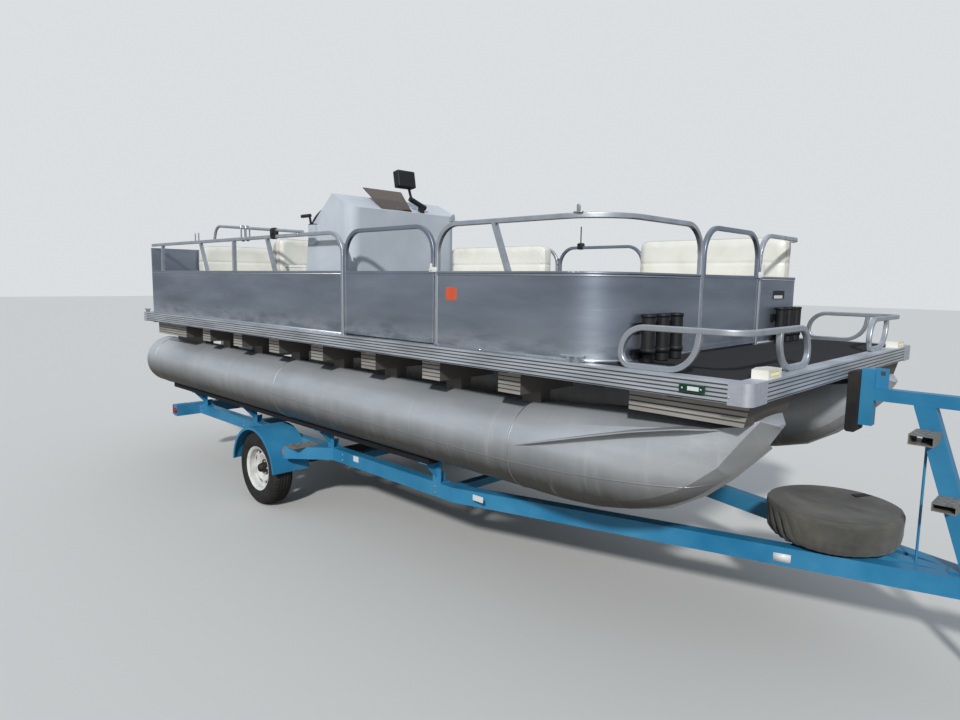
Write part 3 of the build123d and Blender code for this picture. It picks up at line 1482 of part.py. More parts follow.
def make_rim():
    """Rim barrel with flanges and a dished disc with windows between its spokes."""
    half = TYRE_WIDTH / 2
    profile = [
        (RIM_RADIUS + 0.7, -half + 26.0),
        (RIM_FLANGE, -half + 13.0),
        (RIM_FLANGE, -half + 8.0),
        (RIM_RADIUS - 5.0, -half + 20.0),
        (RIM_RADIUS - 5.0, 0),
        (RIM_RADIUS - 5.0, half - 20.0),
        (RIM_FLANGE, half - 8.0),
        (RIM_FLANGE, half - 13.0),
        (RIM_RADIUS + 0.7, half - 26.0),
    ]
    barrel = revolve(Plane.XZ * make_face(Polyline(*profile, close=True)), Axis.Z, 360)
    disc_z = DISC_Y - WHEEL_Y
    dish = [
        (0, disc_z + 4.0),
        (70.0, disc_z + 4.0),
        (108.0, disc_z + 26.0),
        (RIM_RADIUS - 3.0, disc_z + 10.0),
        (RIM_RADIUS - 3.0, disc_z + 4.0),
        (108.0, disc_z + 20.0),
        (70.0, disc_z - DISC_BACK),
        (0, disc_z - DISC_BACK),
    ]
    disc = revolve(Plane.XZ * make_face(Polyline(*dish, close=True)), Axis.Z, 360)
    for index in range(RIM_WINDOWS):
        window = Pos(RIM_WINDOW_AT, 0, disc_z + 14.0) * Box(34.0, 56.0, 60.0)
        window = fillet(window.edges().filter_by(Axis.Z), 15.0)
        disc -= Rot(0, 0, (index + 0.5) * 360.0 / RIM_WINDOWS) * window
    return barrel + disc


def make_wheel():
    """Rim with its hub and cap, bored for the spindle."""
    disc_z = DISC_Y - WHEEL_Y
    hub = Pos(0, 0, (disc_z - 60.0) / 2) * Cylinder(HUB_RADIUS, disc_z + 56.0)
    cap = Pos(0, 0, disc_z + 22.0) * Cylinder(33.0, 44.0)
    wheel = make_rim() + hub + cap
    bore = Pos(0, 0, -200.0) * Cylinder(SPINDLE_RADIUS + FIT, 2 * (200.0 + SPINDLE_END - WHEEL_Y + 1))
    return wheel - bore


wheel_station = Pos(AXLE_X, -WHEEL_Y, TYRE_RADIUS) * Rot(90, 0, 0)
tyre = wheel_station * make_tyre()
wheel = wheel_station * make_wheel()
node("tyre_starboard", tyre)
node("tyre_port", port(tyre))
node("wheel_starboard", wheel)
node("wheel_port", port(wheel))

# Bunks under the pontoons and their posts on the side beams
BUNK_FORE = BOW - 2073.0
BUNK_AFT = STERN + 77.0
BUNK_LOW = DECK_TOP - 782.0
BUNK_INNER = 835.0
BUNK_OUTER = 970.0
POST_WIDTH = 76.0
POST_SHEET = 6.0
POST_STATIONS = (BOW - 2168.0, AXLE_X + 618.0, AXLE_X - 610.0, BEAM_AFT + 110.0)


def make_bunk():
    plank = block((BUNK_AFT, BUNK_FORE), (-BUNK_OUTER, -BUNK_INNER), (BUNK_LOW, PONTOON_Z))
    tube = Rot(0, 90, 0) * Cylinder(PONTOON_RADIUS + FIT, 3 * DECK_LENGTH)
    plank -= Pos(0, -PONTOON_Y, PONTOON_Z) * tube
    return plank.solids().sort_by(Axis.Z)[0]


def make_bunk_post(x):
    """Bracket from the beam's top to the bunk: foot, upright, head and a gusset under the head."""
    reach = (x, x + POST_WIDTH)
    foot = block(reach, (-BEAM_Y, -beam_inner), (BEAM_TOP, BEAM_TOP + POST_SHEET))
    upright = block(reach, (-BEAM_Y, -BEAM_Y + POST_SHEET), (BEAM_TOP, BUNK_LOW))
    head = block(reach, (-BUNK_OUTER, -BEAM_Y + POST_SHEET), (BUNK_LOW - POST_SHEET, BUNK_LOW))
    middle = x + POST_WIDTH / 2
    gusset = front_profile(
        [
            (-BEAM_Y, BEAM_TOP + 30.0),
            (-BEAM_Y, BUNK_LOW - POST_SHEET),
            (-BUNK_OUTER + 10.0, BUNK_LOW - POST_SHEET),
        ],
        (middle - POST_SHEET / 2, middle + POST_SHEET / 2),
    )
    web = block(
        (middle - POST_SHEET / 2, middle + POST_SHEET / 2),
        (-BEAM_Y, -beam_inner - POST_SHEET),
        (BEAM_TOP, BEAM_TOP + 60.0),
    )
    return foot + upright + head + gusset + web


node("bunks", pair(make_bunk()))
node("bunk_posts", [pair(make_bunk_post(x)) for x in POST_STATIONS])

# Winch stand on the tongue: slanted column, arm, bow post and stay
ARM_LOW = DECK_TOP - 186.0
ARM_HIGH = DECK_TOP - 127.0
ARM_HALF = 30.0
ARM_FORE = BOW + 650.0
POST_X = (BOW + 52.0, BOW + 110.0)
POST_Z = (DECK_TOP - 313.0, DECK_TOP - 35.0)
COLUMN_TOP_X = BOW + 322.0
COLUMN_FOOT_X = BOW + 567.0
COLUMN_HALF_X = 43.0
COLUMN_HALF_Y = 38.0
STAY_X = BOW + 340.0
STAY_RADIUS = 6.0
STAY_TOP = DECK_TOP - 350.0


def make_winch_stand():
    column = side_profile(
        [
            (COLUMN_TOP_X - COLUMN_HALF_X, ARM_LOW),
            (COLUMN_TOP_X + COLUMN_HALF_X, ARM_LOW),
            (COLUMN_FOOT_X + COLUMN_HALF_X, BEAM_TOP),
            (COLUMN_FOOT_X - COLUMN_HALF_X, BEAM_TOP),
        ],
        (-COLUMN_HALF_Y, COLUMN_HALF_Y),
    )
    arm = block((POST_X[1], ARM_FORE), (-ARM_HALF, ARM_HALF), (ARM_LOW, ARM_HIGH))
    post = block(POST_X, (-ARM_HALF, ARM_HALF), POST_Z)
    ear = block((POST_X[1], POST_X[1] + 52.0), (-6.0, 6.0), (ARM_HIGH, DECK_TOP - 30.0))
    ear -= block(
        (POST_X[1] + 16.0, POST_X[1] + 38.0), (-10.0, 10.0), (DECK_TOP - 66.0, DECK_TOP - 44.0)
    )
    stay = rod((STAY_X, 0, BEAM_TOP), (STAY_X, 0, STAY_TOP), STAY_RADIUS)
    foot = block(
        (COLUMN_FOOT_X - 95.0, COLUMN_FOOT_X + 95.0),
        (-COLUMN_HALF_Y, COLUMN_HALF_Y),
        (BEAM_TOP, BEAM_TOP + 8.0),
    )
    return column + arm + post + ear + stay + foot


node("winch_stand", make_winch_stand())
bow_stop = block((BOW + FIT, POST_X[0]), (-60.0, 60.0), (DECK_TOP - 350.0, DECK_TOP - 50.0))
bow_stop = fillet(bow_stop.edges().filter_by(Axis.Y), 14.0)
node("bow_stop", bow_stop)

# Boarding steps on the column: open boxes with a plate on top
STEP_SHEET = 5.0
STEP_SIDES = (-200.0, -COLUMN_HALF_Y)

# Aft and fore limits ahead of the bow edge, low and high below the deck top
STEP_ROWS = ((300.0, 400.0, 338.0, 291.0), (411.0, 505.0, 619.0, 582.0))
steps = []
for step_aft, step_fore, step_low, step_high in STEP_ROWS:
    limits_x = (BOW + step_aft, BOW + step_fore)
    limits_z = (DECK_TOP - step_low, DECK_TOP - step_high)
    shell = block(limits_x, STEP_SIDES, limits_z)
    shell -= block(
        (limits_x[0] + STEP_SHEET, limits_x[1] - STEP_SHEET),
        (STEP_SIDES[0] - 1, STEP_SIDES[1] + 1),
        (limits_z[0] + STEP_SHEET, limits_z[1] - STEP_SHEET),
    )
    steps.append(shell)
node("boarding_steps", steps)

# Winch on the arm's front end: side plates, and a drum turning with its crank
WINCH_X = ARM_FORE - 62.0
WINCH_Z = ARM_HIGH + 62.0
WINCH_HALF = 48.0
WINCH_SHEET = 4.0
WINCH_REACH = 62.0
DRUM_RADIUS = 38.0
DRUM_SHAFT = 9.0
CRANK_REACH = 190.0


def make_winch():
    frame = block(
        (WINCH_X - WINCH_REACH, WINCH_X + WINCH_REACH),
        (-WINCH_HALF, WINCH_HALF),
        (ARM_HIGH, ARM_HIGH + WINCH_SHEET),
    )
    for y in (-WINCH_HALF, WINCH_HALF - WINCH_SHEET):
        frame += side_profile(
            [
                (WINCH_X - WINCH_REACH, ARM_HIGH),
                (WINCH_X + WINCH_REACH, ARM_HIGH),
                (WINCH_X + WINCH_REACH - 12.0, WINCH_Z + 40.0),
                (WINCH_X - WINCH_REACH + 12.0, WINCH_Z + 40.0),
            ],
            (y, y + WINCH_SHEET),
        )
    bore = Pos(WINCH_X, 0, WINCH_Z) * Rot(90, 0, 0) * Cylinder(DRUM_SHAFT + FIT, 400.0)
    return frame - bore


def make_drum():
    """Drum wound with webbing, its shaft out to a crank arm and handle on the starboard side."""
    drum = Cylinder(DRUM_RADIUS, 2 * WINCH_HALF - 2 * WINCH_SHEET - 10.0)
    shaft = Pos(0, 0, 23.0) * Cylinder(DRUM_SHAFT, 2 * WINCH_HALF + 60.0)
    arm_z = WINCH_HALF + 44.0
    crank = Pos(0, CRANK_REACH / 2, arm_z) * Box(22.0, CRANK_REACH + 22.0, 7.0)
    handle = Pos(0, CRANK_REACH, arm_z + 52.0) * Cylinder(14.0, 104.0)
    place = Pos(WINCH_X, 0, WINCH_Z) * Rot(90, 0, 0)
    return place * (drum + shaft + crank + handle)


node("winch", make_winch())
node("winch_crank", make_drum())

# Coupler with its ball socket, jack with its wheel, and the spare under its cover
COUPLER_X = BOW + 1060.0
BALL_RADIUS = 25.4
SOCKET_DEPTH = 34.0
COUPLER_TOP = BEAM_TOP + 22.0
COUPLER_LOW = BEAM_TOP - 40.0
COUPLER_HALF = 42.0


def make_coupler():
    across = (-COUPLER_HALF, COUPLER_HALF)
    back = block((TONGUE_FORE - 120.0, TONGUE_FORE + 30.0), across, (BEAM_TOP, COUPLER_TOP))
    neck = block((TONGUE_FORE, COUPLER_X), across, (COUPLER_LOW, COUPLER_TOP))
    cup_reach = TONGUE_REACH + BOW - COUPLER_X
    cup = Pos(COUPLER_X, 0, (COUPLER_LOW + COUPLER_TOP) / 2) * Cylinder(
        cup_reach, COUPLER_TOP - COUPLER_LOW
    )
    coupler = back + neck + cup
    socket = Pos(COUPLER_X, 0, COUPLER_LOW + SOCKET_DEPTH / 2) * Cylinder(
        BALL_RADIUS + FIT, SOCKET_DEPTH
    )
    return coupler - socket


JACK_X = BOW + 800.0
JACK_Y = -TONGUE_Y - 48.0
JACK_TUBE = 28.0
JACK_LEG = 22.0
JACK_HIGH = BEAM_TOP + 330.0
JACK_WHEEL = 75.0
JACK_TUBE_LOW = BEAM_LOW - 110.0
JACK_SLIDE_GAP = 0.5


def make_jack():
    """Outer tube clamped to the tongue with a crank on top."""
    tube = rod((JACK_X, JACK_Y, JACK_TUBE_LOW), (JACK_X, JACK_Y, JACK_HIGH), JACK_TUBE)
    bore_top = JACK_HIGH - 60.0
    tube -= rod(
        (JACK_X, JACK_Y, JACK_TUBE_LOW - 1), (JACK_X, JACK_Y, bore_top), JACK_LEG + JACK_SLIDE_GAP
    )
    swivel = block(
        (JACK_X - 45.0, JACK_X + 45.0),
        (JACK_Y + JACK_TUBE - 4.0, -TONGUE_Y),
        (BEAM_LOW + 14.0, BEAM_TOP - 14.0),
    )
    top_z = JACK_HIGH - 30.0
    crank_y = JACK_Y - 114.0
    top = rod((JACK_X, JACK_Y, top_z), (JACK_X, crank_y - 8.0, top_z), 8.0)
    arm = rod((JACK_X, crank_y, top_z), (JACK_X, crank_y, top_z - 160.0), 8.0)
    return tube + swivel + top + arm


def make_jack_leg():
    """Inner leg with the caster's fork and pin."""
    fork_top = 2 * JACK_WHEEL + 14.0
    leg = rod((JACK_X, JACK_Y, fork_top - 6.0), (JACK_X, JACK_Y, BEAM_TOP), JACK_LEG)
    fork = block(
        (JACK_X - 24.0, JACK_X + 24.0), (JACK_Y - 33.0, JACK_Y + 33.0), (JACK_WHEEL - 14.0, fork_top)
    )
    fork -= block(
        (JACK_X - 30.0, JACK_X + 30.0), (JACK_Y - 28.0, JACK_Y + 28.0), (0, fork_top - 8.0)
    )
    pin = Pos(JACK_X, JACK_Y, JACK_WHEEL) * Rot(90, 0, 0) * Cylinder(8.0, 66.0)
    return leg + fork + pin


def make_caster():
    place = Pos(JACK_X, JACK_Y, JACK_WHEEL) * Rot(90, 0, 0)
    return place * (Cylinder(JACK_WHEEL, 44.0) - Cylinder(8.0 + FIT, 60.0))


node("coupler", make_coupler())
node("jack", make_jack())
node("jack_leg", make_jack_leg())
node("jack_wheel", make_caster())

# Cover over the spare: outer radius and height of its outline, from the rim of the top to the hem
COVER_OUTLINE = (
    (309.0, -740.0),
    (316.0, -747.0),
    (316.0, -850.0),
    (310.0, -885.0),
    (297.0, -903.0),
    (284.0, -914.0),
)
COVER_CLOTH = 3.2


def make_spare_cover():
    """Cup over the spare, open below, its skirt drawn in at the hem."""
    outer = [(radius, DECK_TOP + height) for radius, height in COVER_OUTLINE]
    inner = [(radius - COVER_CLOTH, height) for radius, height in outer[1:]]
    top_high = outer[0][1]
    under = top_high - COVER_CLOTH
    inner[0] = (inner[0][0], under)
    section = [(0, top_high), *outer, *reversed(inner), (0, under)]
    cup = revolve(Plane.XZ * make_face(Polyline(*section, close=True)), Axis.Z, 360)
    return Pos(SPARE_X, 0, 0) * cup


spare_place = Pos(SPARE_X, 0, SPARE_MIDDLE)
node("spare_wheel", spare_place * make_tyre(), spare_place * make_rim())
node("spare_cover", make_spare_cover())
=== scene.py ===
# %% [markdown]
# # A pontoon boat on its trailer
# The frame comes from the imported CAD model, in metres: +X towards the bow, +Y to port, +Z up, floor at
# Z = 0. This file gives every CAD node a material, replaces the soft pieces by sewn ones, adds the
# small hardware and sets up the camera, the floor and the light.

from math import cos, pi, radians, sin

import bmesh
import bpy
import numpy as np
from mathutils import Matrix, Vector


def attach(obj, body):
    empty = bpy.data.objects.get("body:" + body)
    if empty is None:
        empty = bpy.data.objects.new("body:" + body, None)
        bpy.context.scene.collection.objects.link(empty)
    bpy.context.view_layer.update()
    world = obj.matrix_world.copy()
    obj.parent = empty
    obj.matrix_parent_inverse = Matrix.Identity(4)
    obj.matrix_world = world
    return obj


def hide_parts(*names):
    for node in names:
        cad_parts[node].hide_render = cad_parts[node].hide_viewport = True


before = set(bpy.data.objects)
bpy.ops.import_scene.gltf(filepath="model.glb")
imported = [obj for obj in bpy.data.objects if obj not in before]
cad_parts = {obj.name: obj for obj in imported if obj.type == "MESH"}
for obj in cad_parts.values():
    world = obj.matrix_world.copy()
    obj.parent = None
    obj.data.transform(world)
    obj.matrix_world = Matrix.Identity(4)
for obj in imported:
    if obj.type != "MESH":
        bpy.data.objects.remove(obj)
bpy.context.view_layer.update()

BOW = 2.940
DECK = 1.490
STERN = BOW - 6.177
HALF_BEAM = 1.219
HULL = "boat_on_trailer"
AXLE_HEIGHT = 0.3035


def place(x, y, z):
    """Points in metres from millimetres ahead of the bow edge, to port and above the deck top."""
    return np.stack(np.broadcast_arrays(BOW + x / 1000, y / 1000, DECK + z / 1000), -1)


AXLE_X = place(-4010.0, 0, 0)[0]

# %% [markdown]
# ## Materials
# Colours are sRGB hex values turned into linear light. Patterns are sized in metres on object
# coordinates.

# %% Material helpers
def linear(hex_colour):
    """sRGB hex to linear RGBA."""
    channels = [int(hex_colour[i : i + 2], 16) / 255 for i in (1, 3, 5)]
    return (*[c / 12.92 if c <= 0.04045 else ((c + 0.055) / 1.055) ** 2.4 for c in channels], 1.0)


def give(node, values):
    """Give a node its inputs by name or in order: a link, a hex colour or a plain value each."""
    for key, value in values.items() if isinstance(values, dict) else enumerate(values):
        if isinstance(value, bpy.types.NodeSocket):
            node.id_data.links.new(value, node.inputs[key])
        else:
            node.inputs[key].default_value = linear(value) if isinstance(value, str) else value


def add_node(tree, kind, values=(), **settings):
    """Add a node with its settings and inputs; returns its outputs."""
    node = tree.nodes.new("ShaderNode" + kind)
    for key, value in settings.items():
        setattr(node, key, value)
    give(node, values)
    return node.outputs


class Shader:
    """A material under construction."""

    def __init__(self, name, metallic=0.0):
        self.material = bpy.data.materials.new(name)
        self.material.use_nodes = True
        self.surface = self.material.node_tree.nodes["Principled BSDF"]
        give(self.surface, {"Metallic": metallic})
        self.where = self.add("TexCoord")["Object"]

    def add(self, kind, values=(), **settings):
        """Add a node to this material; returns its outputs."""
        return add_node(self.material.node_tree, kind, values, **settings)

    def cloud(self, scale, detail=3.0, stretch=(1, 1, 1), rough=0.55):
        """Cloudy pattern from 0 to 1 on object coordinates scaled per axis, 1/scale metres wide."""
        where = self.add("Mapping", {"Vector": self.where, "Scale": stretch})["Vector"]
        values = {"Vector": where, "Scale": scale, "Detail": detail, "Roughness": rough}
        return self.add("TexNoise", values)["Fac"]

    def blend(self, pattern, first, second, low=0.0, high=1.0, most=1.0):
        """Two colours mixed: the share of the second grows to the most between two pattern values."""
        share = self.add("MapRange", (pattern, low, high, 0.0, most))["Result"]
        return self.add("Mix", {0: share, 6: first, 7: second}, data_type="RGBA")[2]

    def finish(self, colour, roughness, relief=None, more=None):
        """Give the surface its colour, roughness (one value, or a pattern with its range and the two
        values) and relief (pattern, strength, metres deep); returns the material."""
        if isinstance(roughness, tuple):
            roughness = self.add("MapRange", roughness)["Result"]
        values = {"Base Color": colour, "Roughness": roughness, **(more or {})}
        if relief:
            bump = dict(zip(("Height", "Strength", "Distance"), relief))
            values["Normal"] = self.add("Bump", bump)["Normal"]
        give(self.surface, values)
        return self.material


def brushed_aluminium(
    name, light, dark, grain, roughness, metallic, base_height=None, shade_line=None
):
    """Sheet with fine level grain and soft level clouding. Above a base height lie pale scuffs. Over the
    0.19 m above a shade line the skin darkens downwards to a brownish grey, painted shade and painted
    ground reflection, which stays below that line; pale runs streak the skin."""
    m = Shader(name, metallic)
    hair = m.cloud(4.0, 4.0, grain)
    scuff = m.cloud(1.0, 6.0, (2.5, 2.5, 60.0), 0.7)
    tone = m.blend(m.cloud(1.0, 5.0, (0.9, 0.9, 4.0)), dark, light, 0.34, 0.68)
    marks = m.add("MapRange", (scuff, 0.62, 0.74, 0.0, 0.5))["Result"]
    height = m.add("SeparateXYZ", (m.where,))["Z"]
    if base_height:
        patch = m.cloud(7.0, 4.0, (0.8, 0.8, 3.0))
        patch = m.add("MapRange", (patch, 0.38, 0.6, 0.0, 0.8))["Result"]
        low = m.add("MapRange", (height, base_height, base_height + 0.14, 1.0, 0.0))["Result"]
        low = m.add("Math", (low, patch), operation="MULTIPLY")["Value"]
        marks = m.add("Math", (marks, low), operation="MAXIMUM")["Value"]
    tone = m.blend(marks, tone, "#c9ced4")
    # Painted shade and painted ground reflection: the skin darkens towards the bottom, and pale runs lie
    # over it
    if shade_line:
        edge = m.cloud(1.0, 4.0, (9.0, 1.0, 1.2))
        edge = m.add("Math", (edge, 0.07, height), operation="MULTIPLY_ADD")["Value"]
        under = m.add("MapRange", (edge, shade_line, shade_line + 0.19, 0.92, 0.0))["Result"]
        tone = m.blend(under, tone, "#504f4c")
        tone = m.blend(m.cloud(1.0, 3.0, (22.0, 1.0, 2.2), 0.7), tone, "#e3e1da", 0.58, 0.72, 0.21)
    rough = (hair, 0.3, 0.7, roughness - 0.06, roughness + 0.12)
    return m.finish(tone, rough, (hair, 0.22, 0.0004))


def satin_metal(name, colour, roughness, cloud_scale=18.0, metallic=1.0):
    """Drawn or cast metal with slight clouding."""
    m = Shader(name, metallic)
    cloud = m.cloud(cloud_scale)
    rough = (cloud, 0.3, 0.7, roughness, roughness + 0.15)
    return m.finish(m.blend(cloud, colour, "#7d8083", 0.3, 0.75, 0.35), rough)


def weathered_paint(name, colour, faded, wear, rust="#6b3a22"):
    """Gloss paint gone chalky in patches, with chips and dust."""
    m = Shader(name)
    cloud, chip = m.cloud(2.2, 5.0), m.cloud(38.0, 6.0, rough=0.7)
    base = m.blend(cloud, colour, faded, 0.35, 0.7)
    base = m.blend(chip, base, rust, wear, wear + 0.05, 0.85)
    return m.finish(base, (cloud, 0.3, 0.75, 0.32, 0.6), (chip, 0.2, 0.0006), {"Coat Weight": 0.15})


def moulded_plastic(name, colour, roughness, fade=None, grain=900.0, depth=0.0001):
    """Moulded plastic with a fine leathery skin and slight fading."""
    m = Shader(name)
    cloud = m.cloud(7.0)
    base = m.blend(cloud, colour, fade or colour, 0.35, 0.75, 0.5)
    rough = (cloud, 0.3, 0.7, roughness, roughness + 0.12)
    return m.finish(base, rough, (m.cloud(grain, 2.0), 0.3, depth))


def carpet(name, dark, light, tuft=420.0):
    """Short needle-punched carpet: speckled tufts and a soft sheen."""
    m = Shader(name)
    fuzz = m.cloud(tuft, 4.0, rough=0.8)
    base = m.blend(fuzz, dark, light, 0.35, 0.72)
    base = m.blend(m.cloud(3.0, 4.0), base, light, 0.4, 0.75, 0.4)
    more = {"Sheen Weight": 0.04, "Specular IOR Level": 0.12}
    return m.finish(base, 0.95, (fuzz, 0.8, 0.002), more)


def vinyl(name, colour, shade):
    """Marine vinyl: fine leather grain, a soft gloss and a little grime."""
    m = Shader(name)
    cells = m.add("TexVoronoi", {"Vector": m.where, "Scale": 650.0})["Distance"]
    base = m.blend(m.cloud(5.0, 5.0), colour, shade, 0.45, 0.8, 0.7)
    return m.finish(base, 0.42, (cells, 0.35, 0.0003), {"Coat Weight": 0.1})


def tyre_rubber(name):
    """Black rubber with a brownish bloom on the sidewalls."""
    m = Shader(name)
    base = m.blend(m.cloud(12.0, 5.0), "#161616", "#3a3631", 0.4, 0.75, 0.6)
    return m.finish(base, 0.75, (m.cloud(300.0), 0.3, 0.0005))


def cover_cloth(name):
    """Coated cover cloth, dusty on top, with a fine weave."""
    m = Shader(name)
    weave = {"Vector": m.where, "Scale": 420.0, "Distortion": 0.6}
    base = m.blend(m.cloud(4.0, 5.0), "#41413e", "#6c6960", 0.3, 0.7)
    relief = (m.add("TexWave", weave)["Fac"], 0.3, 0.0004)
    return m.finish(base, 0.8, relief, {"Sheen Weight": 0.15})


def tinted_sheet(name):
    """Smoked acrylic sheet."""
    return Shader(name).finish("#6b5a4a", 0.06, None, {"Transmission Weight": 0.7, "IOR": 1.49})


# %% Materials split by place on the object
EDGE = 0.0005


def lamp_housing(name):
    """Cream docking lights on the deck, green and red side lights on the two sides, each side light
    with a clear lens and two bright screws flush in its face."""
    m = Shader(name)
    parts = m.add("SeparateXYZ", (m.where,))
    colour = m.blend(m.cloud(9.0, 4.0), "#eeebdf", "#dedac9", 0.4, 0.75)
    side = HALF_BEAM - EDGE
    colour = m.blend(parts["Y"], "#0b3a2a", colour, -side - EDGE, -side + EDGE)
    colour = m.blend(parts["Y"], colour, "#8f1614", side - EDGE, side + EDGE)
    abeam = m.add("Math", (parts["Y"],), operation="ABSOLUTE")["Value"]
    lens, screw = (-0.222, 0.024, 0.008), (0.003, 0.003)
    for back, half_x, half_z in (lens, (-0.268, *screw), (-0.190, *screw)):
        inside = 1.0
        x_span, z_span = (parts["X"], BOW + back, half_x), (parts["Z"], DECK - 0.041, half_z)
        for value, middle, half in ((abeam, 1.26525, 0.03475), x_span, z_span):
            within = m.add("Math", (value, middle, half), operation="COMPARE")["Value"]
            inside = m.add("Math", (inside, within), operation="MULTIPLY")["Value"]
        colour = m.blend(inside, colour, "#dfe3df")
    return m.finish(colour, 0.35, (m.cloud(700.0, 2.0), 0.2, 0.0001))


def console_gelcoat(name):
    """Pale blue-grey gelcoat, gone chalky, with a black throttle lever above its side box."""
    m = Shader(name)
    chalk = m.cloud(3.0, 5.0)
    parts = m.add("SeparateXYZ", (m.where,))
    outer = m.add("MapRange", (parts["Y"], -1.1006 - EDGE, -1.1006 + EDGE, 1.0, 0.0))["Result"]
    lever = DECK + 0.7275
    high = m.add("MapRange", (parts["Z"], lever - EDGE, lever + EDGE))["Result"]
    lever = m.add("Math", (outer, high), operation="MULTIPLY")["Value"]
    shell = m.blend(chalk, "#cdd3d9", "#bbc2c9", 0.35, 0.7)
    rough = (chalk, 0.35, 0.7, 0.3, 0.45)
    return m.finish(m.blend(lever, shell, "#17181a"), rough, (m.cloud(260.0), 0.12, 0.0003))


def wheel_enamel(name):
    """White enamel on the pressed spokes, grease-dark hub, rust specks at the edges."""
    m = Shader(name)
    flat = m.add("VectorMath", (m.where, (1, 0, 1)), operation="MULTIPLY")["Vector"]
    axle = (AXLE_X, 0, AXLE_HEIGHT)
    radius = m.add("VectorMath", (flat, axle), operation="DISTANCE")["Value"]
    white = m.blend(m.cloud(26.0, 5.0, rough=0.65), "#dcdcd8", "#9a9184", 0.45, 0.75, 0.55)
    base = m.blend(radius, "#2b2a29", white, 0.064, 0.067)
    return m.finish(base, 0.38, (m.cloud(90.0, 4.0), 0.15, 0.0004))


def ribbed_extrusion(name, outer, painted_shade_and_mottle, roughness, metallic, abeam, ends=()):
    """Extruded metal: its outermost faces keep the metal's mottled tone, and its grooves and all other
    faces get painted shade. A face is an outer one beyond a distance abeam, or past an end: axis,
    direction and coordinate."""
    m = Shader(name, metallic)
    parts = m.add("SeparateXYZ", (m.where,))
    beyond = m.add("Math", (parts["Y"],), operation="ABSOLUTE")["Value"]
    beyond = m.add("Math", (beyond, abeam), operation="SUBTRACT")["Value"]
    for axis, sign, limit in ends:
        past = m.add("Math", (parts[axis], sign, -sign * limit), operation="MULTIPLY_ADD")["Value"]
        beyond = m.add("Math", (beyond, past), operation="MAXIMUM")["Value"]
    face = m.blend(m.cloud(3.0, 5.0, (1.0, 1.0, 6.0)), outer, painted_shade_and_mottle, 0.35, 0.7, 0.45)
    # Painted shade: every face that is not an outer one takes the dark colour; the outer faces are also
    # mottled towards it at random
    tone = m.blend(beyond, painted_shade_and_mottle, face, -0.0004, 0.0004)
    return m.finish(tone, roughness, (m.cloud(3.0, 4.0, (0.6, 0.6, 90.0)), 0.15, 0.0003))


print("material helpers ready")

# %% The metals, paints, plastics and cloths of this boat
skin = brushed_aluminium(
    "brushed_sheet_aluminium", "#a6aeba", "#838b97", (1.1, 1.1, 300), 0.38, 0.8, base_height=DECK
)
# The tube's lower part gets painted shade and painted ground reflection, darkest below its shade line
pontoon_skin = brushed_aluminium(
    "rolled_pontoon_sheet", "#d0d3d6", "#b2b5b8", (0.5, 60, 60), 0.42, 0.45, shade_line=DECK - 0.605
)
bright_tube = satin_metal("polished_tube", "#d2d6db", 0.34, metallic=0.85)
cast_cap = satin_metal("cast_corner_aluminium", "#c9cdd6", 0.45, 30.0, 0.5)
zinc = satin_metal("galvanised_steel", "#a2a5a6", 0.5, 60.0)
chrome = satin_metal("chromed_fitting", "#dcdedf", 0.16, 9.0)
dark_steel = satin_metal("oiled_dark_steel", "#35312d", 0.6, 40.0)
weld_metal = satin_metal("weld_bead", "#c4c5c6", 0.42, 160.0)
blue = weathered_paint("blue_trailer_paint", "#19749f", "#3f8fb8", 0.68)
motor_paint = weathered_paint("dark_motor_enamel", "#1b1d20", "#26282b", 0.74)
grip_plate = weathered_paint("grey_grip_plate", "#77756f", "#8c8981", 0.58, "#5a5048")
deck_carpet = carpet("charcoal_deck_carpet", "#121316", "#29292d")
bunk_carpet = carpet("black_bunk_carpet", "#17171a", "#2c2c30")
cream = vinyl("cream_marine_vinyl", "#e8e6dc", "#d3cebf")
bench_shell = moulded_plastic("rotomoulded_bench_shell", "#cfcdc6", 0.5, "#b9b5ab")
black_plastic = moulded_plastic("black_moulded_plastic", "#141517", 0.5, "#2a2b2c")
white_plastic = moulded_plastic("white_latch_plastic", "#e4e4e0", 0.4, "#cfcec6")
red_lens = moulded_plastic("red_lamp_lens", "#8f1410", 0.18)
amber_lens = moulded_plastic("amber_lamp_lens", "#c46a12", 0.2)
pale_lens = moulded_plastic("pale_yellow_ribbed_lens", "#e9e2a8", 0.2, None, 90.0, 0.002)
white_tape = moulded_plastic("white_reflective_tape", "#e2e4e4", 0.3, "#c6c8c6")
rubber = tyre_rubber("black_rubber")
# The rail's grooves, undersides and inboard faces get painted shade; its outer ribs, ends and top keep
# the metal tone
rail_ends = (("X", 1, BOW - 0.0035), ("X", -1, STERN + 0.0035), ("Z", 1, DECK - 0.003))
rail_metal = ribbed_extrusion(
    "extruded_edge_rail", "#ced3d9", "#5a5d61", 0.4, 0.4, 1.2155, rail_ends
)
# Risers keep a pale metal tone on their outboard faces only; every face under the deck gets painted shade
riser_metal = ribbed_extrusion("riser_extrusion_painted_shade", "#bdb8b1", "#625e59", 0.55, 0.3, 1.1205)
# Cross members lie wholly within 1.3 m of the centreline, so they are painted dark all over as shade
shaded_channel = ribbed_extrusion("cross_channel_painted_shade", "#6a6762", "#35332f", 0.6, 0.2, 1.3)
lamp_paint = lamp_housing("lamp_housing_plastic")
console_shell = console_gelcoat("console_gelcoat")
rim_white = wheel_enamel("white_wheel_enamel")
smoked = tinted_sheet("smoked_acrylic")
print("materials", len(bpy.data.materials))

